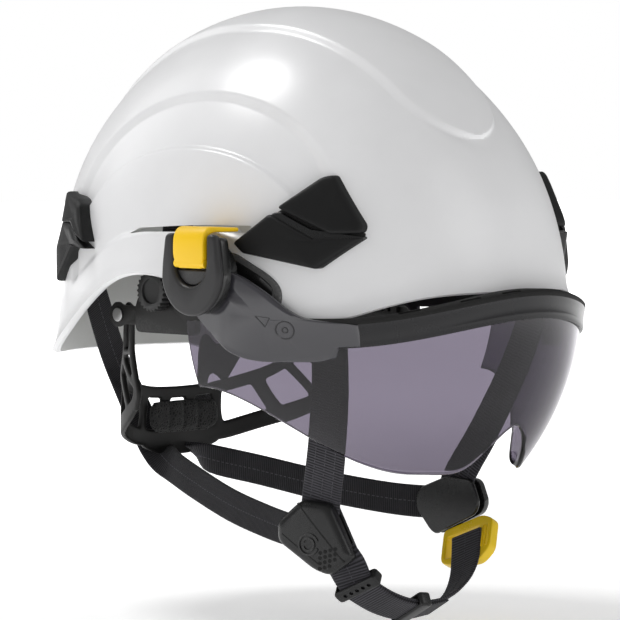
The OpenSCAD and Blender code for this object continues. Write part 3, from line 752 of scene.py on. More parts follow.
def surface_plate(name, outline, levels, finish, corner=1.5, dish=0.0):
    """A plate on the shell: each level is (drawn in, rise); its middle may be dished."""
    line = rounded(outline, corner)
    mid = sum(line, Vector((0, 0))) / len(line)
    rings = [[surface_point(p.x, p.y, rise) for p in drawn_in(line, by)] for by, rise in levels]
    by, top = levels[-1]
    flat = drawn_in(line, by)
    for k in range(1, 6):
        share = k / 6
        rings.append([surface_point(*(p + (mid - p) * share), top - dish * ease(share)) for p in flat])
    n = len(line)
    points = [p for ring in rings for p in ring] + [surface_point(mid.x, mid.y, top - dish)]
    faces = [(i * n + j, i * n + (j + 1) % n, (i + 1) * n + (j + 1) % n, (i + 1) * n + j)
             for i in range(len(rings) - 1) for j in range(n)]
    last = (len(rings) - 1) * n
    faces += [(last + j, last + (j + 1) % n, len(points) - 1) for j in range(n)]
    faces.append(tuple(range(n)))
    obj = make(name, points, faces, finish, 28)
    outward(obj)
    return obj


CLIP_SINK = -3.2
FRONT_UPPER = [(-69, 43), (-84, 57), (-88, 58), (-91, 54), (-104, 35), (-104, 31.5), (-93, 31)]
FRONT_LOWER = [(-51, 26.5), (-66, 40), (-69.5, 38.5), (-89, 27.5), (-105, 29.2), (-90, 15), (-56, 22)]
FRONT_FLOOR = [(-67, 40), (-70, 42.5), (-94, 31.5), (-104, 31.6), (-104, 28.8), (-90, 26), (-72, 34)]
FRONT_RAMP = [(-66.5, 40.3), (-69.8, 41.0), (-91, 29.7), (-104.5, 29.9), (-104.8, 28.8), (-89.5, 24.6),
              (-66, 37.2)]
REAR_UPPER = [(84, 48), (66, 44.5), (61, 42), (57, 35), (50, 24), (59, 27), (70, 33), (83, 33)]
REAR_LOWER = [(83.5, 34), (71, 33.5), (60, 25.5), (49, 21), (64, 22), (86, 3.5), (91, 20)]


def build_lamp_clips():
    levels = [(0, CLIP_SINK), (0, 3.6), (0.4, 4.3), (1.1, 4.8), (1.9, 5.0)]
    upper = surface_plate("clip", FRONT_UPPER, levels, "clip_black", 1.6, 0.5)
    fit_pair(upper, "lamp_clip_front_{side}_upper_plate", "helmet", "clip_black",
             "lamp_clip_front_{side}_upper")
    lower = surface_plate("clip", FRONT_LOWER, levels, "clip_black", 1.4, 0.3)
    floor = surface_plate("floor", FRONT_FLOOR, [(0, CLIP_SINK), (0, 0.6), (0.5, 0.9)], "socket_dark", 1)
    ramp = surface_plate("ramp", FRONT_RAMP, [(0, CLIP_SINK), (0, 2.6), (0.8, 3.3)], "fitting_black", 1.2)
    lower = merge("clip", [lower, floor, ramp])
    fit_pair(lower, "lamp_clip_front_{side}_lower_plate", "helmet", "clip_black",
             "lamp_clip_front_{side}_lower")
    levels = [(0, CLIP_SINK), (0, 3.8), (0.5, 5.0), (1.3, 5.6), (2.2, 5.8)]
    rear = surface_plate("clip", REAR_UPPER, levels, "clip_black", 1.5, 0.6)
    hook = surface_plate("hook", REAR_LOWER, [(by, rise - 0.9 if rise > 0 else rise) for by, rise in levels],
                         "clip_black", 1.5, 1.6)
    rear = merge("clip", [rear, hook])
    fit_pair(rear, "lamp_clip_rear_{side}_plate", "helmet", "clip_black", "lamp_clip_rear_{side}")


# Eye shield mount: base plate, drum, pod and latch -------------------------

HINGE = joint_place("shield_tilt")
BASE_OUTLINE = [(-28, 22), (-50, 22), (-68, 12), (-74, 6), (-74, -3), (-60, -5), (-40, 0), (-28, 4)]
DRUM_RADIUS, DRUM_IN = 14.4, 101.6
POD_IN, POD_FLOOR, POD_OUT, POD_RADIUS, POD_TOP = 109.4, 112.5, 119, 19.5, 31
CHANNEL_HALF = 11.2


def hinge_side(x):
    """Puts a flat outline, drawn round the shield's hinge, on the right side."""
    return Matrix.Translation((0, HINGE.y, HINGE.z)) @ side_matrix(x)


def pod_outline(half, top, draw=0.0):
    """A round-bottomed tongue, a little narrower at its top."""
    lower = arc((0, 0), half, 180, 360, 28)
    upper = [Vector((half - 1.2, 9)), Vector((half - 2.6 - draw, top)), Vector((-half + 2.6 + draw, top)),
             Vector((-half + 1.2, 9))]
    return lower[:-1] + rounded([lower[-1]] + upper + [lower[0]], [0.1, 6, 3, 3, 6, 0.1])[6:-6]


def build_shield_mount():
    low = surface_plate("base", BASE_OUTLINE, [(0, CLIP_SINK), (0, 1.5), (0.5, 1.9)], "base_edge", 4)
    top = surface_plate("base_top", [tuple(p) for p in drawn_in([Vector(p) for p in BASE_OUTLINE], 2.8)],
                        [(0, 0), (0, 1.9), (0.4, 2.4)], "hub_black", 3, 0.5)
    base = merge("base", [low, top])
    fit_pair(base, "shield_base_{side}_plate", "helmet", "hub_black", "shield_base_{side}")

    drum = prism("drum", ring_of(DRUM_RADIUS, 64), DRUM_IN, POD_IN + 0.4, "hub_black", hinge_side(0))
    bore = prism("bore", ring_of(8, 32), DRUM_IN - 2, DRUM_IN + 5, "hub_black", hinge_side(0))
    drum = bevel(cut(drum, bore), 0.5)
    fit_pair(drum, "shield_drum_{side}_turned", "helmet", "hub_black", "shield_drum_{side}")

    tall = POD_TOP - HINGE.z
    cap = prism("cap", pod_outline(POD_RADIUS, tall), 114.2, POD_OUT, "pod_charcoal", hinge_side(0))
    channel = [(CHANNEL_HALF, 40), (-CHANNEL_HALF, 40)] + [tuple(p) for p in arc((0, 5.5), CHANNEL_HALF, 180,
                                                                                 360, 24)]
    cut(cap, prism("channel", channel, 100, 130, "pod_charcoal", hinge_side(0)))
    bevel(cap, 1.9, 5, 40)
    skirt = prism("skirt", pod_outline(POD_RADIUS - 0.7, tall - 1.2), POD_IN, 114.4, "hub_black",
                  hinge_side(0))
    channel = [(9, 40), (-9, 40)] + [tuple(p) for p in arc((0, 8), 9, 180, 360, 24)]
    cut(skirt, prism("channel", channel, POD_FLOOR, 130, "hub_black", hinge_side(0)))
    bevel(skirt, 0.6, 3)
    shelf = prism("shelf", arc((0, 5.5), CHANNEL_HALF - 0.4, 200, 340, 24), POD_FLOOR + 0.2, 116.8,
                  "pod_charcoal", hinge_side(0))
    bevel(shelf, 0.8, 3)
    pod = merge("pod", [cap, skirt, shelf])
    fit_pair(pod, "shield_pod_{side}_moulded", "helmet", "pod_charcoal", "shield_pod_{side}")


LATCH_LINE = [(-117.3, 15.2), (-117.6, 20), (-117.8, 26), (-117.2, 30.2), (-115.2, 32.4), (-111.5, 32.9),
              (-105, 32.8), (-96.4, 32.6)]
LATCH_HALF = [7.6, 10.0, 10.2, 10.2, 10.2, 10.1, 10.0, 9.6]
LATCH_THICK = [3.0, 4.2, 4.2, 4.0, 3.4, 2.6, 2.2, 2.0]


def build_latch():
    """A bent tab: round at the bottom, over the top of the pod and in through the shell's slot."""
    line = smooth_line([Vector((x, z, 0)) for x, z in LATCH_LINE], 4)
    half = smooth_line([Vector((h, t, 0)) for h, t in zip(LATCH_HALF, LATCH_THICK)], 4)
    rings = []
    for i, p in enumerate(line):
        along = (line[min(i + 1, len(line) - 1)] - line[max(i - 1, 0)]).normalized()
        out = Vector((-along.y, along.x, 0))
        width, thick = half[i].x, half[i].y
        ring = rounded([(width, thick / 2), (-width, thick / 2), (-width, -thick / 2), (width, -thick / 2)],
                       1.0, 3)
        rings.append([(p.x + out.x * q.y, HINGE.y + q.x, p.y + out.y * q.y) for q in ring])
    latch = loft("latch", rings, "latch_yellow", sharp=45)
    bevel(latch, 0.9, 4, 50, 45)
    barrel = loft("barrel", [[(x, HINGE.y + y, z) for x, z in (p + Vector((-117.3,
                                                                           17.3)) for p in ring_of(2.0, 16))]
                             for y in (-10.1, 10.1)], "latch_yellow")
    window = rounded([(-6.5, -2.6), (5.8, -1.8), (6.6, 1.9), (-6.5, 2.2)], 0.8, 3)
    place = Matrix.Translation((-108.6, HINGE.y, 33.4)) @ Matrix.Rotation(math.radians(90), 4, "Z")
    combine(latch, barrel, "UNION")
    cut(latch, prism("window", window, 0, 3, "latch_yellow", place))
    fit_pair(latch, "shield_latch_{side}_tab", "latch_{side}", "latch_yellow", "shield_latch_{side}")


# Eye shield: lens, brow frame and arms --------------------------------------

LENS_HALF_WIDTH, LENS_REACH, LENS_DROP_X, LENS_DROP_Y = 107, 150, 101, 151
LENS_END, LENS_WALL = 80, 2.2
LENS_COLUMNS, LENS_ROWS = 200, 40


def lens_point(turn, z, inset=0.0):
    """A point on the lens at a plan angle from straight ahead, in degrees; positive turns are on the left."""
    f = math.radians(turn)
    return Vector(((LENS_HALF_WIDTH * math.sqrt(1 - (z / LENS_DROP_X) ** 2) - inset) * math.sin(f),
                   -(LENS_REACH * math.sqrt(1 - (z / LENS_DROP_Y) ** 2) - inset) * math.cos(f), z))


def lens_top(turn):
    return mix(3, -10, ease(abs(turn) / 52))


def lens_low(turn):
    g = abs(turn)
    if g < 27:
        return mix(-58, -81, math.sin(math.pi / 2 * ease(g / 27)) ** 0.8)
    return -81 if g < 33 else mix(-81, -41, ease(((g - 33) / (LENS_END - 33)) ** 1.25))


def build_lens():
    rings = []
    for k in range(LENS_COLUMNS + 1):
        turn = mix(-LENS_END, LENS_END, k / LENS_COLUMNS)
        high, low = lens_top(turn), lens_low(turn)
        thick = LENS_WALL * (0.55 + 0.45 * ease((LENS_END - abs(turn)) / 6))
        heights = [mix(high, low, r / LENS_ROWS) for r in range(LENS_ROWS + 1)]
        rings.append([lens_point(turn, z) for z in heights] + [lens_point(turn, low - 0.5, thick / 2)]
                     + [lens_point(turn, z, thick) for z in heights[::-1]])
    lens = loft("shield_lens_moulded", rings, "smoke_lens", sharp=60)
    fit(lens, "eye_shield", "smoke_lens", "shield_lens")


FRAME_END, FRAME_HIGH = 56, 11
SEAL_SLOTS = (-33, -19, -8, 8, 19, 33)


def build_brow_frame():
    """The thick smoke border along the lens's top, and the soft black seal above it with its vent slots."""
    border, seal = [], []
    for k in range(161):
        turn = mix(-FRAME_END - 3, FRAME_END + 3, k / 160)
        top = lens_top(turn)
        deep = 1.8 + 5.2 * ease((50 - abs(turn)) / 30) + 2.5 * ease((22 - abs(turn)) / 15)
        profile = [(-0.2, -FRAME_HIGH), (1.2, -FRAME_HIGH - 0.3), (1.7, -FRAME_HIGH + 0.8),
                   (1.4, -FRAME_HIGH + 3),
                   (1.2, -4), (1.5, -2.2), (1.5, 0.2), (-0.2, 0.2)]
        border.append([lens_point(turn, top + z, -rise) for rise, z in profile])
        profile = [(1.45, -1.2), (1.7, -0.4), (1.6, 0.7), (0.9, 1.4), (-0.8, 2.1), (0.4 - deep, 1.9),
                   (-deep, 0.4), (-1.2, -1.2)]
        seal.append([lens_point(turn, top + z + 0.4, -rise) for rise, z in profile])
    border = loft("border", border, "smoke_brow", sharp=50)
    seal = loft("seal", seal, "seal_black", sharp=60)
    for turn in SEAL_SLOTS:
        centre = lens_point(turn, lens_top(turn) + 2.2, 0.3)
        ahead = (lens_point(turn + 1, 0) - lens_point(turn - 1, 0)).normalized()
        place = Matrix.Translation(centre) @ Matrix.Rotation(math.atan2(ahead.y, ahead.x), 4, "Z")
        outline = rounded([(-5.5, -0.9), (5.5, -0.9), (4.6, 0.8), (-4.6, 0.8)], 0.7, 3)
        cut(seal, prism("vent", outline, -1.6, 2, "socket_dark", place))
    frame_piece = merge("shield_brow_frame_moulded", [border, seal])
    fit(frame_piece, "eye_shield", "smoke_frame", "shield_brow_frame")


ARM_INNER, ARM_WALL = 106.4, 2.6
ARM_OUTLINE = [(-56, 14), (-62, 12), (-70, 5.5), (-77, -1.6), (-86, -7.4), (-109, -10), (-109, -20),
               (-100, -20.5),
               (-98, -25.5), (-92, -27.5), (-68, -28), (-58, -24), (-48, -16), (-38, -9), (-27, 5), (-27, 20)]
ARM_CORNERS = [2, 3, 6, 8, 9, 0.5, 0.5, 1.5, 1.5, 6, 8, 8, 5, 8, 8, 8]


def arm_face(y, z, rise):
    """A point over the arm's middle face: flat by the hinge, then along the lens."""
    along = min(0.999, abs(y) / (LENS_REACH * math.sqrt(1 - (z / LENS_DROP_Y) ** 2)))
    lens_x = LENS_HALF_WIDTH * math.sqrt(1 - (z / LENS_DROP_X) ** 2) * math.sqrt(1 - along ** 2)
    return Vector((-mix(ARM_INNER, max(lens_x, 60) + 0.2, ease((-52 - y) / 26)) - rise, y, z))


def plate_on(name, outline, face, levels, finish, sharp=30, steps=9):
    """A plate over any face(y, z, rise), filled with rings that shrink to its middle."""
    line = [Vector(p) for p in outline]
    mid = sum(line, Vector((0, 0))) / len(line)
    rings = [[face(p.x, p.y, rise) for p in drawn_in(line, by)] for by, rise in levels]
    by, top = levels[-1]
    for k in range(1, steps):
        rings.append([face(*(p + (mid - p) * k / steps), top) for p in drawn_in(line, by)])
    back = [[face(*(p + (mid - p) * k / steps), levels[0][1]) for p in line] for k in range(steps - 1, 0, -1)]
    n = len(line)
    rings = back + rings
    points = [p for ring in rings for p in ring] + [face(mid.x, mid.y, levels[0][1]), face(mid.x, mid.y, top)]
    faces = [(i * n + j, i * n + (j + 1) % n, (i + 1) * n + (j + 1) % n, (i + 1) * n + j)
             for i in range(len(rings) - 1) for j in range(n)]
    last = (len(rings) - 1) * n
    faces += [(j, (j + 1) % n, len(points) - 2) for j in range(n)]
    faces += [(last + j, last + (j + 1) % n, len(points) - 1) for j in range(n)]
    obj = make(name, points, faces, finish, sharp)
    outward(obj)
    return obj


def build_arms():
    line = rounded(ARM_OUTLINE, ARM_CORNERS)
    levels = [(0, 0), (0, 1.9), (0.25, 2.3), (0.7, ARM_WALL)]
    arm = plate_on("arm", line, arm_face, levels, "smoke_frame")
    hole = prism("hole", ring_of(DRUM_RADIUS + 0.25, 64), 90, 120, "smoke_frame", hinge_side(0))
    cut(arm, hole)
    marks = []
    for radius in (4.0, 1.2):
        path = arc((-79.5, -13), radius, 0, 351, 40)
        marks.append(raised_line("mark", path, 0.5, arm_face, ARM_WALL, 0.25, "engraving", True))
    corners = [Vector((-68.5, -6.5)), Vector((-73.5, -7.5)), Vector((-71.8, -11.5))]
    marks.append(raised_line("mark", corners, 0.5, arm_face, ARM_WALL, 0.25, "engraving", True))
    arm = merge("arm", [arm] + marks)
    fit_pair(arm, "shield_arm_{side}_moulded", "eye_shield", "smoke_frame", "shield_arm_{side}")


def raised_line(name, path, width, face, base, height, finish, closed):
    """A thin moulded line that follows a path of (y, z) points on a face."""
    n = len(path)
    rings = []
    for i, p in enumerate(path):
        if closed:
            a, b = path[i - 1], path[(i + 1) % n]
        else:
            a, b = path[max(i - 1, 0)], path[min(i + 1, n - 1)]
        side = Vector((-(b - a).y, (b - a).x)).normalized() * width / 2
        rings.append([face(*(p + side), base - 0.3), face(*(p + side), base + height),
                      face(*(p - side), base + height), face(*(p - side), base - 0.3)])
    if closed and (path[0] - path[-1]).length > 0.01:
        rings.append(rings[0])
    return loft(name, rings, finish, capped=True, sharp=50)


# Webbing ------------------------------------------------------------------

RIB_STEPS = 4
WEB_ACROSS = 8
SELVEDGE = 0.14


def spaced(path, across, gap):
    """Points of a line, with their width directions, spaced evenly by about gap."""
    lengths = [0.0]
    for a, b in zip(path, path[1:]):
        lengths.append(lengths[-1] + (b - a).length)
    count = max(2, round(lengths[-1] / gap))
    found, i = [], 0
    for k in range(count + 1):
        s = lengths[-1] * k / count
        while i < len(path) - 2 and lengths[i + 1] < s:
            i += 1
        u = (s - lengths[i]) / max(lengths[i + 1] - lengths[i], 1e-6)
        found.append((path[i].lerp(path[i + 1], u), across[i].lerp(across[i + 1], u), s))
    return found


def frames_along(path, across, gap):
    """At each spaced point: the point, its width and thickness directions, and the length so far."""
    line = spaced(path, across, gap)
    found = []
    for i, (p, w, s) in enumerate(line):
        along = (line[min(i + 1, len(line) - 1)][0] - line[max(i - 1, 0)][0]).normalized()
        normal = along.cross(w).normalized()
        found.append((p, normal.cross(along), normal, s))
    return found


def webbing(name, path, across, width, thick, finish, pitch=1.3, rib=0.13, twill=0.0, stitches=(), steps=3):
    """Woven tape along a path, with real ribs, rounded selvedges and rows of stitches at those offsets."""
    path = smooth_line(path, steps)
    across = smooth_line(across, steps) if len(across) > 1 else [Vector(across[0])] * len(path)
    line = frames_along(path, across, pitch / RIB_STEPS)
    half, flat = width / 2, thick / 2
    shares = [math.sin(math.pi / 2 * k / WEB_ACROSS) for k in range(-WEB_ACROSS, WEB_ACROSS + 1)]
    points, marks = [], []
    for p, w, n, s in line:
        ring, coordinates = [], []
        for face in (1, -1):
            for u in shares[::face] if face == 1 else shares[::-1][1:-1]:
                skew = twill * abs(((u * 1.5) % 1) - 0.5) * 2
                wave_now = math.cos(2 * math.pi * (s + skew) / pitch)
                shoulder = math.sqrt(max(0, 1 - max(0, abs(u) - 1 + SELVEDGE) ** 2 / SELVEDGE ** 2))
                deep = (flat + rib * 0.5 * wave_now * (abs(u) < 0.97)) * (0.25 + 0.75 * shoulder)
                ring.append(p + w * (u * half) + n * (deep * face))
                coordinates.append((u * half * MM, s * MM))
        points.append(ring)
        marks.append(coordinates)
    tape = loft(name, points, finish, sharp=70)
    layer = tape.data.uv_layers.new(name="UVMap")
    flat_marks = [c for ring in marks for c in ring]
    for loop in tape.data.loops:
        layer.data[loop.index].uv = flat_marks[loop.vertex_index]
    if stitches:
        tape = merge(name, [tape, stitch_rows(line, stitches, flat)])
    tape["flat_length"] = line[-1][3] * MM
    return tape


STITCH_LONG, STITCH_GAP, STITCH_HALF = 1.7, 2.6, 0.22
STITCH_START, STITCH_END = 1.5, 2


def stitch_rows(line, offsets, flat, finish="thread"):
    """Rows of short raised stitches on both faces of a tape, at offsets from its middle."""
    points, faces = [], []
    for offset in offsets:
        s = STITCH_START
        index = 0
        while s < line[-1][3] - STITCH_END:
            while index < len(line) - 1 and line[index][3] < s:
                index += 1
            p, w, n, _ = line[index]
            along = (line[min(index + 6, len(line) - 1)][0] - p).normalized()
            for face in (1, -1):
                centre = p + w * offset + n * (face * (flat + 0.02))
                first = len(points)
                for a, h in ((-0.5, 0.0), (-0.3, 0.2), (0.3, 0.2), (0.5, 0.0)):
                    for b in (-1, 1):
                        points.append(centre + along * (a * STITCH_LONG) + w * (b * STITCH_HALF)
                                      + n * (face * (h - 0.05)))
                shape = [[0, 1, 3, 2], [2, 3, 5, 4], [4, 5, 7, 6], [6, 7, 1, 0], [0, 2, 4, 6], [7, 5, 3, 1]]
                faces += [[first + j for j in (quad if face == 1 else quad[::-1])] for quad in shape]
            s += STITCH_GAP
    return make("stitches", points, faces, finish, 80)


def fit_sheet(tape, body, slot, rests_on, *nodes, blend=None, width=20):
    """Fits a strap to its body and hides those parts, dropping its record of cut length; where a blend is
    given, it only bakes the strap's placement into its mesh and hides those parts.
    """
    del tape["flat_length"]
    if blend:
        other, start, end = blend
        tuple(Vector(start) * MM)
        tuple(Vector(end) * MM)
        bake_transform(tape)
        if nodes:
            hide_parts(*nodes)
    else:
        fit(tape, body, slot, *nodes)


# Chinstrap and its fittings -----------------------------------------------

WEB_WIDTH, WEB_THICK = 20, 1.5
LEFT_SHIFT = Vector((2.5, 5, 8))
REAR_SHIFT = Vector((5.6, 5, 8))
FRONT_PATH = [(-73, -88, 2), (-72, -87, -6), (-64, -80, -40), (-56, -69, -72), (-50.5, -60, -94),
              (-49.5, -57.5, -106)]
FRONT_ACROSS = Vector((-0.1, 0.995, 0))
ADJUSTER_ACROSS = {"right": Vector((-0.358, 0.934, 0)), "left": Vector((0.1, 0.995, 0))}
REAR_PATH = [(-62, 90, 2), (-52, 94, -16), (-40, 99.5, -34), (-27, 102, -54), (-16, 103, -72),
             (-11, 100, -84),
             (-14, 86, -90), (-24, 58, -96), (-36, 18, -104), (-45, -18, -109), (-51.5, -42, -111),
             (-52.5, -49, -111.5)]
REAR_ACROSS = [(0.55, 0, 0.83), (0.8, 0, 0.6), (0.85, 0, 0.52), (0.88, -0.1, 0.45), (0.9, -0.2, 0.3),
               (0.85, -0.3, 0.3), (0.3, 0, 0.95), (0.2, 0, 0.98), (0.12, 0, 0.99), (0.08, 0, 0.99),
               (0, 0, 1), (0, 0, 1)]
REAR_TURN = 5


def hang(path, side, start, shift):
    """The left side hangs a little higher and further back, more and more from the point numbered start."""
    if side == "right":
        return [Vector(p) for p in path]
    last = len(path) - 1
    return [Vector(p) + shift * min(1, max(0, (i - start) / (last - start))) for i, p in enumerate(path)]


def to_left(vectors):
    return [Vector((-v[0], v[1], v[2])) for v in vectors]


def build_front_straps():
    for side, left in SIDES:
        path = hang(FRONT_PATH, side, 0, LEFT_SHIFT)
        across = [FRONT_ACROSS.lerp(ADJUSTER_ACROSS[side], i / 5) for i in range(6)]
        if left:
            path, across = to_left(path), to_left(across)
        name = f"front_strap_{side}"
        tape = webbing(name + "_webbing", path, across, WEB_WIDTH, WEB_THICK, "webbing_front", 1.45, 0.26,
                       0.7,
                       stitches=(0, -5.2, 5.2))
        fit_sheet(tape, "helmet", "webbing", ["adjuster_" + side], name)
        fold = [path[0] + Vector((0, -1.6, -3)), path[1] + Vector((0, -1.7, -3.5)),
                path[1] + Vector((2.2 if not left else -2.2, 0.4, -12))]
        tab = webbing(name + "_sewn_end", fold, [across[0]], WEB_WIDTH, WEB_THICK, "webbing_front", 1.45,
                      0.26, 0.7,
                      stitches=(0, -7.5, 7.5, -3.8, 3.8))
        fit_sheet(tab, "helmet", "webbing", [name + "_webbing"])


def build_rear_straps():
    """The upper stretch runs from the shell down behind the cradle, the lower one on to the adjuster."""
    for side, left in SIDES:
        path = hang(REAR_PATH, side, REAR_TURN, REAR_SHIFT)
        across = [Vector(a) for a in REAR_ACROSS]
        if left:
            path, across = to_left(path), to_left(across)
        name = f"rear_strap_{side}"
        upper = webbing(name + "_upper", path[:REAR_TURN + 2], across[:REAR_TURN + 2], 16, WEB_THICK,
                        "webbing_dark",
                        1.1, 0.2, stitches=(0,), steps=5)
        fit_sheet(upper, "size_carriage", "webbing", ["nape_cradle"], name, width=16,
                  blend=("nape", path[0], path[3]))
        lower = webbing(name + "_lower", path[REAR_TURN:], across[REAR_TURN:], 16, WEB_THICK, "webbing_dark",
                        1.1, 0.2, stitches=(0,), steps=5)
        fit_sheet(lower, "size_carriage", "webbing", ["adjuster_" + side], width=16,
                  blend=("nape", path[-3], path[REAR_TURN + 1]))


ADJUSTER_AT = Vector((-49.5, -57, -113))
TURN = {"right": 21, "left": -6}
ADJUSTER_OUTLINE = [(-6.4, 17.9), (8.5, 17), (20.3, -7.7), (19.2, -10), (8.5, -17.4), (0.5, -15),
                    (-18.7, -1.9),
                    (-18.7, 7.2)]
RECEIVER_OUTLINE = [(-1.9, 14.5), (14, 13.5), (18.4, 2.4), (15.9, -3.1), (-8.3, -14.5), (-12, -12.6),
                    (-20.7, -2.4),
                    (-20.7, 3.9), (-17.8, 8.2)]
FITTING_GAP, COVER_THICK, BACK_THICK = 1.65, 5, 2
HOLES_FROM, HOLES_ALONG, HOLES_DOWN = (4.6, -6.4), (2.542, 0.7), (-0.175, -2.5)
HOLE_RADIUS = 0.95
PARTING_UPPER = ((-7.5, 16.5), (16.5, -10.5))
PARTING_LOWER = ((-15.5, 1.8), (4.0, -12.0))


def adjuster_place(side):
    """Local frame of an adjuster on the right: x to the front, y up, z outward from the cheek."""
    at = ADJUSTER_AT + (LEFT_SHIFT if side == "left" else Vector())
    return (Matrix.Translation(at) @ Matrix.Rotation(math.radians(TURN[side] - 90), 4, "Z")
            @ Matrix.Rotation(math.radians(90), 4, "X"))


def seat(side):
    """A face(y, z, rise) for plates drawn in the adjuster's frame, on its own side of the helmet."""
    place = adjuster_place(side)
    sign = -1 if side == "left" else 1

    def face(u, v, rise):
        p = place @ Vector((u, v, rise))
        return Vector((p.x * sign, p.y, p.z))
    return face


def crowned(face, centre, reach_mm, crown):
    """The same face, swelling towards the middle."""
    def lifted(u, v, rise):
        off = ((u - centre[0]) ** 2 + (v - centre[1]) ** 2) / reach_mm ** 2
        return face(u, v, rise + crown * max(0, 1 - off) * (rise > FITTING_GAP + 2))
    return lifted


def disc(face, centre, radius, low, high, finish, steps=20):
    return plate_on("disc", ring_of(radius, steps, centre), face, [(0, low), (0, high)], finish, steps=3)


def build_adjusters():
    for side, _ in SIDES:
        face = seat(side)
        outline = rounded(ADJUSTER_OUTLINE if side == "right" else RECEIVER_OUTLINE, 3.5, 6)
        dome = crowned(face, (0, 0), 24, 1.4)
        top = FITTING_GAP + COVER_THICK
        levels = [(0, FITTING_GAP), (0, top - 2.9), (0.3, top - 1.9), (1.1, top - 0.9), (2.4, top - 0.25),
                  (3.6, top)]
        cover = plate_on("cover", outline, dome, levels, "fitting_black", 40)
        extra = [cover]
        if side == "right":
            for (start, end), width, base, height in ((PARTING_UPPER, 0.7, top - 0.15, 0.2),
                                                      (PARTING_LOWER, 0.6, top - 0.2, 0.25)):
                path = [Vector(start).lerp(Vector(end), k / 12) for k in range(13)]
                extra.append(raised_line("parting", path, width, dome, base, height, "socket_dark", False))
            for radius, start, end in ((4.9, 20, 340), (2.9, 200, 520)):
                path = arc((-1.5, -2.8), radius, start, end, 30)
                extra.append(raised_line("ring", path, 1.0, dome, top - 0.1, 0.8, "fitting_black", False))
            # The holes are near-black discs on the cover, not cut: painted shade where the holes are.
            for row in range(4):
                for column in range(4 - (row == 3)):
                    centre = Vector(HOLES_FROM) + Vector(HOLES_ALONG) * column + Vector(HOLES_DOWN) * row
                    extra.append(disc(dome, centre, HOLE_RADIUS, top - 1.2, top + 0.08, "socket_dark", 12))
        cover = merge(f"adjuster_{side}_cover", extra)
        fit(cover, "helmet", "fitting_black", "adjuster_" + side)
        levels = [(0.6, -FITTING_GAP - BACK_THICK), (0, -FITTING_GAP - BACK_THICK + 0.7),
                  (0, -FITTING_GAP - 0.6),
                  (0.5, -FITTING_GAP)]
        back = plate_on(f"adjuster_{side}_back_plate", outline, face, levels, "fitting_black", 40)
        fit(back, "helmet", "fitting_black", "adjuster_back_" + side)


CHIN_PATH = [(-45.6, -67.3, -121), (-44.3, -70.5, -125.5), (-38, -72, -135.5), (-24, -75, -144),
             (-8, -77, -148.5),
             (8, -78.5, -147.5), (21, -77.5, -142), (30, -75, -134), (36.5, -70.5, -125), (40.5, -67, -117)]
CHIN_ACROSS = [(0.277, -0.722, 0.635), (0.277, -0.722, 0.635), (0.1, -0.86, 0.5), (0, -0.88, 0.47),
               (0, -0.88, 0.47),
               (0, -0.88, 0.47), (-0.02, -0.88, 0.47), (0.04, -0.9, 0.42), (0.09, -0.92, 0.38),
               (0.09, -0.92, 0.38)]
SLIDER_POINT, KEEPER_POINT = 2, 4
TAIL_LIFT = 1.7
RING_PLAY = 0.8


def build_chin_strap():
    path = [Vector(p) for p in CHIN_PATH]
    across = [Vector(a) for a in CHIN_ACROSS]
    tape = webbing("chin_strap_webbing", path, across, WEB_WIDTH - 1, WEB_THICK, "webbing_front", 1.4, 0.18,
                   0.0,
                   stitches=(0,), steps=6)
    fit_sheet(tape, "helmet", "webbing", ["adjuster_right", "chin_buckle"], "chin_strap")
    lines = [(path[i], across[i]) for i in range(2, 6)]
    doubled = []
    for i, (p, w) in enumerate(lines):
        along = (path[i + 3] - path[i + 1]).normalized()
        doubled.append(p + along.cross(w).normalized() * TAIL_LIFT)
    tail = webbing("chin_strap_tail", doubled, [w for p, w in lines], WEB_WIDTH - 1.6, 1.1, "webbing_front",
                   1.4, 0.18, steps=6)
    fit_sheet(tail, "helmet", "webbing", ["strap_slider", "strap_keeper"])


def matrix_from(point, columns):
    place = Matrix.Translation(Vector(point))
    for k, column in enumerate(columns):
        for r in range(3):
            place[r][k] = column[r]
    return place


def threaded_ring(name, index, long, thick, gap, holes, body, node):
    """A rounded ring that the chin strap runs through, with a row of holes in its front bar."""
    along = (Vector(CHIN_PATH[index + 1]) - Vector(CHIN_PATH[index - 1])).normalized()
    normal = along.cross(Vector(CHIN_ACROSS[index])).normalized()
    across = normal.cross(along)
    place = matrix_from(CHIN_PATH[index], (across, along, normal))
    half = WEB_WIDTH / 2 + 2.5
    outline = rounded([(-half, -long / 2), (half, -long / 2), (half, long / 2), (-half, long / 2)], 2.2)
    ring = prism(name, outline, -thick / 2, thick / 2, "fitting_black", place)
    bevel(ring, 1.2, 4, 50)
    inside = WEB_WIDTH / 2 + RING_PLAY
    opening = [(-inside, -gap / 2), (inside, -gap / 2), (inside, gap / 2), (-inside, gap / 2)]
    sideways = matrix_from(CHIN_PATH[index], (across, normal, along))
    cut(ring, prism("opening", opening, -long, long, "fitting_black", sideways))
    for k in range(holes):
        centre = ((k - (holes - 1) / 2) * 3.6, 0)
        cut(ring, prism("hole", ring_of(1.05, 12, centre), -thick, thick, "fitting_black", place))
    soften(ring, 35)
    fit(ring, body, "fitting_black", node)


BUCKLE_AT = Vector((41.2, -68.3, -122.6))
BUCKLE_ACROSS = Vector((0.093, -0.92, 0.364)).normalized()
BUCKLE_DOWN = Vector((-0.504, -0.362, -0.782)).normalized()
BUCKLE_OUTLINE = [(-16.5, -12.6), (9, -13), (16.5, -8.5), (16.3, 8), (9.5, 13), (-10, 9.5), (-16.5, 6)]
BUCKLE_WINDOW = [(-13.7, -7.5), (7.7, -7.5), (7.7, 7.0), (-13.7, 4.4)]


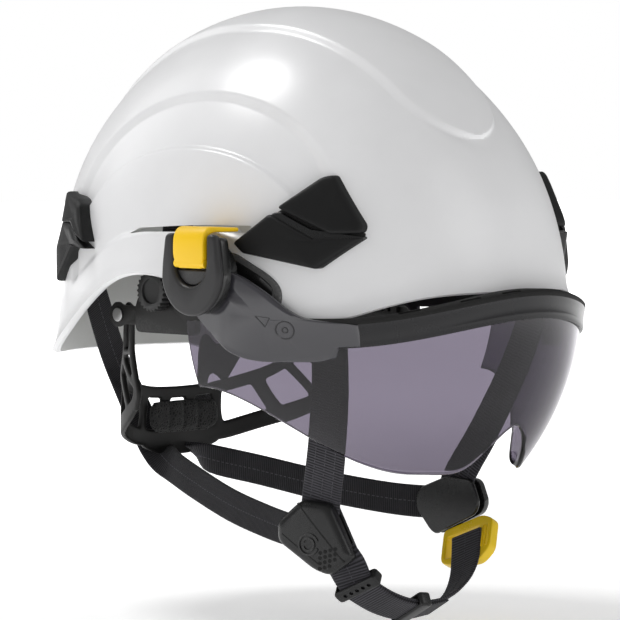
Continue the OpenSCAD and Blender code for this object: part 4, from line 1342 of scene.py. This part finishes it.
def build_buckle():
    normal = BUCKLE_ACROSS.cross(BUCKLE_DOWN).normalized()
    place = matrix_from(BUCKLE_AT, (BUCKLE_ACROSS, normal.cross(BUCKLE_ACROSS), normal))
    buckle = prism("chin_buckle_frame", rounded(BUCKLE_OUTLINE, 3.2), -2.5, 2.5, "buckle_yellow", place)
    cut(buckle, prism("window", rounded(BUCKLE_WINDOW, 1.2), -9, 9, "buckle_yellow", place))
    bevel(buckle, 1.0, 4, 50)
    ribs = [buckle]
    for k in range(3):
        x = 10.6 + 1.7 * k
        outline = rounded([(x - 0.45, -6), (x + 0.45, -6), (x + 0.45, 6), (x - 0.45, 6)], 0.4, 3)
        ribs.append(bevel(prism("rib", outline, -2.9, 2.9, "buckle_yellow", place), 0.25, 2))
    buckle = merge("chin_buckle_frame", ribs)
    fit(buckle, "buckle", "buckle_yellow", "chin_buckle")


# Textile crown and its anchors --------------------------------------------

CROWN_BASE, CROWN_RISE, STRAP_STEP = 14, 93, 2.7
FRONT_HOLD, SIDE_HOLD, REAR_HOLD = (74, -88), (94, 2), (66, 92)
ANCHOR_SIZE = (6, 26, 18)


def build_crown():
    holds = {"a": FRONT_HOLD, "b": (-FRONT_HOLD[0], FRONT_HOLD[1]), "c": SIDE_HOLD}
    for k, (letter, hold) in enumerate(holds.items()):
        reach_mm = math.hypot(*hold) - 4
        ahead = Vector((hold[0], hold[1], 0)).normalized()
        turns = [math.radians(7.5 * i) for i in range(25)]
        rise = CROWN_RISE + k * STRAP_STEP
        path = [ahead * (reach_mm * math.cos(t)) + Vector((0, 0,
                                                           CROWN_BASE + rise * math.sin(t))) for t in turns]
        tape = webbing(f"crown_strap_{letter}_webbing", path, [Vector((0, 0, 1)).cross(ahead)], WEB_WIDTH,
                       WEB_THICK,
                       "webbing_dark", 1.4, 0.2, stitches=(-6, 6))
        fit_sheet(tape, "helmet", "webbing", ["crown_patch"], f"crown_strap_{letter}")
    z = CROWN_BASE + CROWN_RISE + 2 * STRAP_STEP + WEB_THICK / 2 + 0.2
    patch = prism("crown_patch_disc", ring_of(19, 64), z, z + 1.6, "foam_fabric")
    bevel(patch, 0.5, 3)
    seam = [(r * math.cos(t), r * math.sin(t), z + 1.7) for r in (16.5,) for t in
            (math.radians(6 * i) for i in range(61))]
    line = frames_along([Vector(p) for p in seam], [Vector(p).normalized() for p in seam], 0.4)
    patch = merge("crown_patch_disc", [patch, stitch_rows(line, (0,), -0.1, finish="thread_light")])
    fit(patch, "helmet", "nylon_charcoal", "crown_patch")


ANCHORS = {"front": ((-FRONT_HOLD[0] + 2.2, FRONT_HOLD[1] + 2.2), 0),
           "side": ((-SIDE_HOLD[0] - 0.8, SIDE_HOLD[1]), 10),
           "rear": ((-REAR_HOLD[0] - 2, REAR_HOLD[1] + 3), -5)}


def build_anchors():
    for place_name, ((x, y), z) in ANCHORS.items():
        turn = math.atan2(y / SHELL_HALF_LENGTH ** 2, x / SHELL_HALF_WIDTH ** 2)
        place = (Matrix.Translation((x, y, z)) @ Matrix.Rotation(turn, 4, "Z")
                 @ Matrix(((0, 0, 1, 0), (1, 0, 0, 0), (0, 1, 0, 0), (0, 0, 0, 1))))
        long, high = ANCHOR_SIZE[1] / 2, ANCHOR_SIZE[2]
        outline = rounded([(-long, 0), (long, 0), (long * 0.8, high), (-long * 0.8, high)], 3)
        block = prism("anchor", outline, -ANCHOR_SIZE[0] / 2, ANCHOR_SIZE[0] / 2, "nylon_charcoal", place)
        slot = rounded([(-10.6, 4), (10.6, 4), (10.6, 8.5), (-10.6, 8.5)], 1)
        cut(block, prism("slot", slot, -9, 9, "nylon_charcoal", place))
        dimple = rounded([(-6, 11), (6, 11), (5, 15.5), (-5, 15.5)], 1.2)
        cut(block, prism("dimple", dimple, 1.8 - ANCHOR_SIZE[0], -1.6, "nylon_charcoal", place))
        bevel(block, 0.6, 3, 45)
        stem = place_name + "_anchor_{side}"
        fit_pair(block, stem + "_hook", "helmet", "nylon_charcoal", stem)


# Headband, size adjustment and nape cradle ---------------------------------

BAND_HALF_WIDTH, BAND_HALF_LENGTH, BAND_POWER, BAND_WALL = 76, 102, 2.4, 2
CRADLE_HALF_WIDTH, CRADLE_REACH, CRADLE_POWER, CRADLE_WALL = 74, 98, 2.6, 2.6
PAD_VOXEL, PAD_PRESSURE, PAD_LAST_FRAME = 2.2, 4.0, 20
PAD_STEPS, PAD_SWELL = 60, 0.9
CHANNEL_HALF_WIDE, CHANNEL_DEEP = 0.9, 1.0
RIM_SEAM_IN, RIM_SEAM_HALF_WIDE, RIM_SEAM_DEEP = 2.2, 0.7, 0.6


def ring_spot(half_width, half_length, power, turn, inset=0.0):
    """Point of a plan ring at an angle in degrees, and its outward direction."""
    c, s = math.cos(math.radians(turn)), math.sin(math.radians(turn))
    px = math.copysign(abs(c) ** (2 / power), c)
    py = math.copysign(abs(s) ** (2 / power), s)
    out = Vector((math.copysign(abs(px) ** (power - 1), px) / half_width,
                  math.copysign(abs(py) ** (power - 1), py) / half_length, 0)).normalized()
    return Vector((half_width * px, half_length * py, 0)) - out * inset, out


def ring_bar(ring, points, width, thick, finish):
    """A flat bar that follows a ring: points are (angle, z), or (angle, z, width)."""
    line = smooth_line([Vector((p[0], p[1], p[2] if len(p) > 2 else width)) for p in points], 10)
    spots = [ring_spot(*ring, p.x, thick / 2) for p in line]
    path = [spot + Vector((0, 0, p.y)) for (spot, out), p in zip(spots, line)]
    sections = []
    for i, p in enumerate(path):
        along = (path[min(i + 1, len(path) - 1)] - path[max(i - 1, 0)]).normalized()
        out = spots[i][1]
        side = along.cross(out).normalized()
        half = line[i].z / 2
        shape = rounded([(half, thick / 2), (-half, thick / 2), (-half, -thick / 2), (half, -thick / 2)],
                        0.8, 3)
        sections.append([p + side * q.x + out * q.y for q in shape])
    return loft("bar", sections, finish, sharp=50)


def build_headband():
    ring = (BAND_HALF_WIDTH, BAND_HALF_LENGTH, BAND_POWER)
    bars = [ring_bar(ring, [(184, 2), (200, 4), (235, 16.5), (270, 17.5), (305, 16.5), (340, 4), (356, 2)], 6,
                     BAND_WALL, "nylon_charcoal"),
            ring_bar(ring, [(184, -8), (200, -7), (235, -1), (270, -1.5), (305, -1), (340, -7), (356, -8)], 6,
                     BAND_WALL, "nylon_charcoal")]
    for turn in range(190, 351, 16):
        top = 15 if 220 < turn < 320 else 7
        bars.append(ring_bar(ring, [(turn - 1.5, -6), (turn, 4), (turn + 1.5, top)], 5, BAND_WALL,
                             "nylon_charcoal"))
    band = fuse(merge("headband_moulded", bars), 0.8)
    fit(band, "helmet", "nylon_charcoal", "headband")


PIVOT = joint_place("nape_flip")
WHEEL = joint_place("size_wheel_right_turn")
RACK_X, RACK_WALL, HOUSING_WALL = 67.6, 2, 4.6
RACK_FRONT, PIVOT_RADIUS = 8, 6.8
TOOTH_FIRST, TOOTH_GAP, TOOTH_LONG, TOOTH_HIGH, TEETH = 12, 4.4, 2.2, 1.6, 9
HOUSING_FRONT, HOUSING_REAR, HOUSING_DROP, HOUSING_HIGH = -2, 44, 7.5, 24
SHAFT_RADIUS, WHEEL_WIDE, WHEEL_MEAN, GRIP_DEEP, GRIPS = 2.9, 6, 9.35, 0.6, 24
PIN_RADIUS, PIN_HEAD = 1.95, 3.4


def right_prism(name, outline, low, high, finish):
    """A straight solid over a (y, z) outline on the right side, from one x outwards to another."""
    return prism(name, outline, low, high, finish, side_matrix(0))


def build_racks():
    front, rear, high = PIVOT.y - 3, PIVOT.y + 2, 4.5
    shape = [(RACK_FRONT, -high), (front, -high), (rear, -PIVOT_RADIUS), (PIVOT.y + PIVOT_RADIUS, -2),
             (PIVOT.y + PIVOT_RADIUS, 2), (rear, PIVOT_RADIUS), (front, high), (RACK_FRONT, high)]
    outline = rounded([(y, PIVOT.z + z) for y, z in shape], [1, 2, 3, 3, 3, 3, 2, 1])
    rack = right_prism("rack", outline, RACK_X, RACK_X + RACK_WALL, "nylon_charcoal")
    for k in range(TEETH):
        y = TOOTH_FIRST + TOOTH_GAP * k
        low, high = PIVOT.z - TOOTH_HIGH, PIVOT.z + TOOTH_HIGH
        tooth = rounded([(y, low), (y + TOOTH_LONG, low), (y + TOOTH_LONG, high), (y, high)], 0.5, 2)
        cut(rack, right_prism("tooth", tooth, RACK_X - 1, RACK_X + 4, "nylon_charcoal"))
    bevel(rack, 0.3, 2)
    fit_pair(rack, "size_rack_{side}_toothed", "size_carriage", "nylon_charcoal", "size_rack_{side}")


def build_size_wheels():
    inner = RACK_X + RACK_WALL + 0.4
    low = PIVOT.z - HOUSING_DROP
    shape = [(HOUSING_FRONT, low), (HOUSING_REAR, low), (HOUSING_REAR, low + 14), (36, low + HOUSING_HIGH),
             (12, low + HOUSING_HIGH), (HOUSING_FRONT, low + 16)]
    housing = right_prism("housing", rounded(shape, 4), inner, inner + HOUSING_WALL, "nylon_charcoal")
    hub_centre = (WHEEL.y, WHEEL.z)
    cut(housing, right_prism("bore", ring_of(SHAFT_RADIUS + 0.3, 24, hub_centre), inner - 2, inner + 9,
                             "nylon_charcoal"))
    bevel(housing, 0.8, 3)
    fit_pair(housing, "wheel_housing_{side}_case", "helmet", "nylon_charcoal", "wheel_housing_{side}")

    knurl = []
    for k in range(144):
        t = math.radians(2.5 * k)
        r = WHEEL_MEAN + GRIP_DEEP * math.cos(GRIPS * t)
        knurl.append((WHEEL.y + r * math.cos(t), WHEEL.z + r * math.sin(t)))
    start = RACK_X + RACK_WALL + 0.8 + HOUSING_WALL
    wheel = right_prism("wheel", knurl, start, start + WHEEL_WIDE, "wheel_black")
    cut(wheel, right_prism("dish", ring_of(6, 32, hub_centre), start + 4.5, start + 9, "wheel_black"))
    hub = right_prism("hub", ring_of(SHAFT_RADIUS, 24, hub_centre), start - HOUSING_WALL - 1, start + 1,
                      "wheel_black")
    wheel = merge("wheel", [bevel(wheel, 0.35, 2, 50), hub])
    fit_pair(wheel, "size_wheel_{side}_knurled", "wheel_{side}", "wheel_black", "size_wheel_{side}")


def build_cradle_pins():
    centre = (PIVOT.y, PIVOT.z)
    outside = RACK_X + RACK_WALL
    pin = right_prism("pin", ring_of(PIN_RADIUS, 24, centre), RACK_X - 6.6, outside, "pin_steel")
    head = bevel(right_prism("head", ring_of(PIN_HEAD, 24, centre), outside, outside + 1, "pin_steel"), 0.4)
    pin = merge("pin", [pin, head])
    fit_pair(pin, "cradle_pin_{side}_rivet", "size_carriage", "pin_steel", "cradle_pin_{side}")


def build_nape_cradle():
    """Flat bars on a ring, crossing as in a truss and moulded into one piece."""
    ring = (CRADLE_HALF_WIDTH, CRADLE_REACH, CRADLE_POWER)
    bars = []
    for flip in (False, True):
        def bar(points, width, flip=flip):
            line = [((180 - p[0]) if flip else p[0], *p[1:]) for p in points]
            bars.append(ring_bar(ring, line, width, CRADLE_WALL, "nylon_charcoal"))
        bar([(29.5, -11, 7), (33.5, -11.5, 11), (37.5, -12, 7)], 11)
        bar([(30, -13), (30.5, -28), (27.2, -42), (25.6, -50, 6), (28, -57, 7)], 4.2)
        bar([(37, -13), (38, -27), (42, -37, 5), (52, -45, 6), (66, -50.5, 6.5), (80, -54, 6), (90, -55, 6)],
            4.2)
        bar([(28, -56, 7), (34, -61, 8), (44, -66, 9), (58, -71, 9), (72, -75.5, 9), (82, -77, 8),
             (90, -77.5, 8)], 8)
        bar([(26, -47, 4), (33, -41), (40, -34, 5)], 4.4)
        bar([(32, -60, 5), (38, -51), (46, -41, 5)], 4.6)
        bar([(32, -30, 3.4), (38, -31, 3.4)], 3.4)
        bar([(48, -68, 8), (54, -58, 7), (59, -48, 8)], 7)
        bar([(74, -76, 6), (75.5, -66), (76, -54, 7)], 5)
        bar([(84, -78, 7), (86, -66, 6), (87, -55, 7)], 6)
        bar([(76, -79, 5), (84, -82.5, 6), (90, -83, 7)], 6)
    cradle = fuse(merge("nape_cradle_moulded", bars), 0.62, 5)
    hole = prism("hole", ring_of(2.1, 20, (PIVOT.y, PIVOT.z)), -90, 90, "nylon_charcoal", side_matrix(0))
    cut(cradle, hole)
    soften(cradle, 50)
    fit(cradle, "nape", "nylon_charcoal", "nape_cradle")


def pad_form(name, ring, angles, low, high, thick, channels):
    """A long pad on a ring: stuffed by cloth simulation, then sewn down along its channels."""
    half_width, half_length, _ = ring
    rings = []
    for k in range(PAD_STEPS + 1):
        turn = mix(angles[0], angles[1], k / PAD_STEPS)
        ends = math.sqrt(max(0.04, 1 - abs(2 * k / PAD_STEPS - 1) ** 6))
        spot, out = ring_spot(*ring, turn)
        middle = (low + high) / 2
        tall = (high - low) / 2 * ends
        shape = rounded([(tall, 0), (-tall, 0), (-tall, thick), (tall, thick)], 1.4, 3)
        rings.append([spot - out * (q.y * 0.92 + 0.3) + Vector((0, 0, middle + q.x * 0.94)) for q in shape])
    pad = loft(name, rings, "foam_fabric", sharp=80)
    remesh = pad.modifiers.new("remesh", "REMESH")
    remesh.mode = "VOXEL"
    remesh.voxel_size = PAD_VOXEL * MM
    settle(pad, 180)
    rest = [v.co.copy() for v in pad.data.vertices]
    cloth = pad.modifiers.new("cloth", "CLOTH")
    cloth.settings.use_pressure = True
    cloth.settings.uniform_pressure_force = PAD_PRESSURE
    cloth.settings.effector_weights.gravity = 0
    cloth.settings.quality = 5
    for frame_number in range(1, PAD_LAST_FRAME + 1):
        bpy.context.scene.frame_set(frame_number)
    settle(pad, 180)
    bpy.context.scene.frame_set(1)
    cap = PAD_SWELL * MM
    for vertex, home in zip(pad.data.vertices, rest):
        moved = vertex.co - home
        if moved.length > cap:
            vertex.co = home + moved.normalized() * cap
    smooth = pad.modifiers.new("smooth", "SMOOTH")
    smooth.iterations = 3
    divide = pad.modifiers.new("divide", "SUBSURF")
    divide.levels = divide.render_levels = 1
    settle(pad, 180)
    middle = (low + high) / 2
    for vertex in pad.data.vertices:
        p = vertex.co / MM
        turn = math.degrees(math.atan2(p.y / half_length, p.x / half_width)) % 360
        near = min(abs(turn - c) for c in channels)
        press = math.exp(-(near / CHANNEL_HALF_WIDE) ** 2) * CHANNEL_DEEP
        from_rim = abs(p.z - middle) - (high - low) / 2 + RIM_SEAM_IN
        rim = math.exp(-(from_rim / RIM_SEAM_HALF_WIDE) ** 2) * RIM_SEAM_DEEP
        inward = -Vector((p.x, p.y, 0)).normalized()
        spot, out = ring_spot(*ring, turn)
        deep = (spot - Vector((p.x, p.y, 0))).dot(out)
        if deep > thick * 0.5:
            vertex.co -= inward * (max(press, rim) * MM)
    return pad


def build_pads():
    inset = BAND_WALL + 0.3
    ring = (BAND_HALF_WIDTH - inset, BAND_HALF_LENGTH - inset, BAND_POWER)
    brow = pad_form("brow_pad_sewn", ring, (228, 312), -1.5, 16.5, 4.6, [236 + 8.5 * k for k in range(9)])
    fit(brow, "helmet", "comfort_pad", "brow_pad")
    inset = CRADLE_WALL + 0.4
    ring = (CRADLE_HALF_WIDTH - inset, CRADLE_REACH - inset, CRADLE_POWER)
    nape = pad_form("nape_pad_sewn", ring, (76, 104), -76, -57, 3.8, [82, 90, 98])
    fit(nape, "nape", "comfort_pad", "nape_pad")


# Floor --------------------------------------------------------------------

FLOOR_Z = -160
FLOOR_REACH = 6000


def add_floor():
    """A flat floor, wide enough to run out of sight."""
    n = 24
    steps = [mix(-FLOOR_REACH, FLOOR_REACH, i / n) for i in range(n + 1)]
    points = [(x, y, FLOOR_Z) for y in steps for x in steps]
    faces = [(j * (n + 1) + i, j * (n + 1) + i + 1, (j + 1) * (n + 1) + i + 1, (j + 1) * (n + 1) + i)
             for j in range(n) for i in range(n)]
    floor = make("floor", points, faces, "floor_pale")


# Everything together ------------------------------------------------------

add_camera()
add_studio()
add_floor()
build_shell()
build_lamp_clips()
build_shield_mount()
build_latch()
build_lens()
build_brow_frame()
build_arms()
build_front_straps()
build_rear_straps()
build_adjusters()
build_chin_strap()
threaded_ring("strap_slider_ring", SLIDER_POINT, 6.5, 7, 5, 5, "slider", "strap_slider")
threaded_ring("strap_keeper_ring", KEEPER_POINT, 7, 7, 5, 0, "keeper", "strap_keeper")
build_buckle()
build_crown()
build_anchors()
build_headband()
build_racks()
build_size_wheels()
build_cradle_pins()
build_nape_cradle()
build_pads()

bpy.context.view_layer.update()
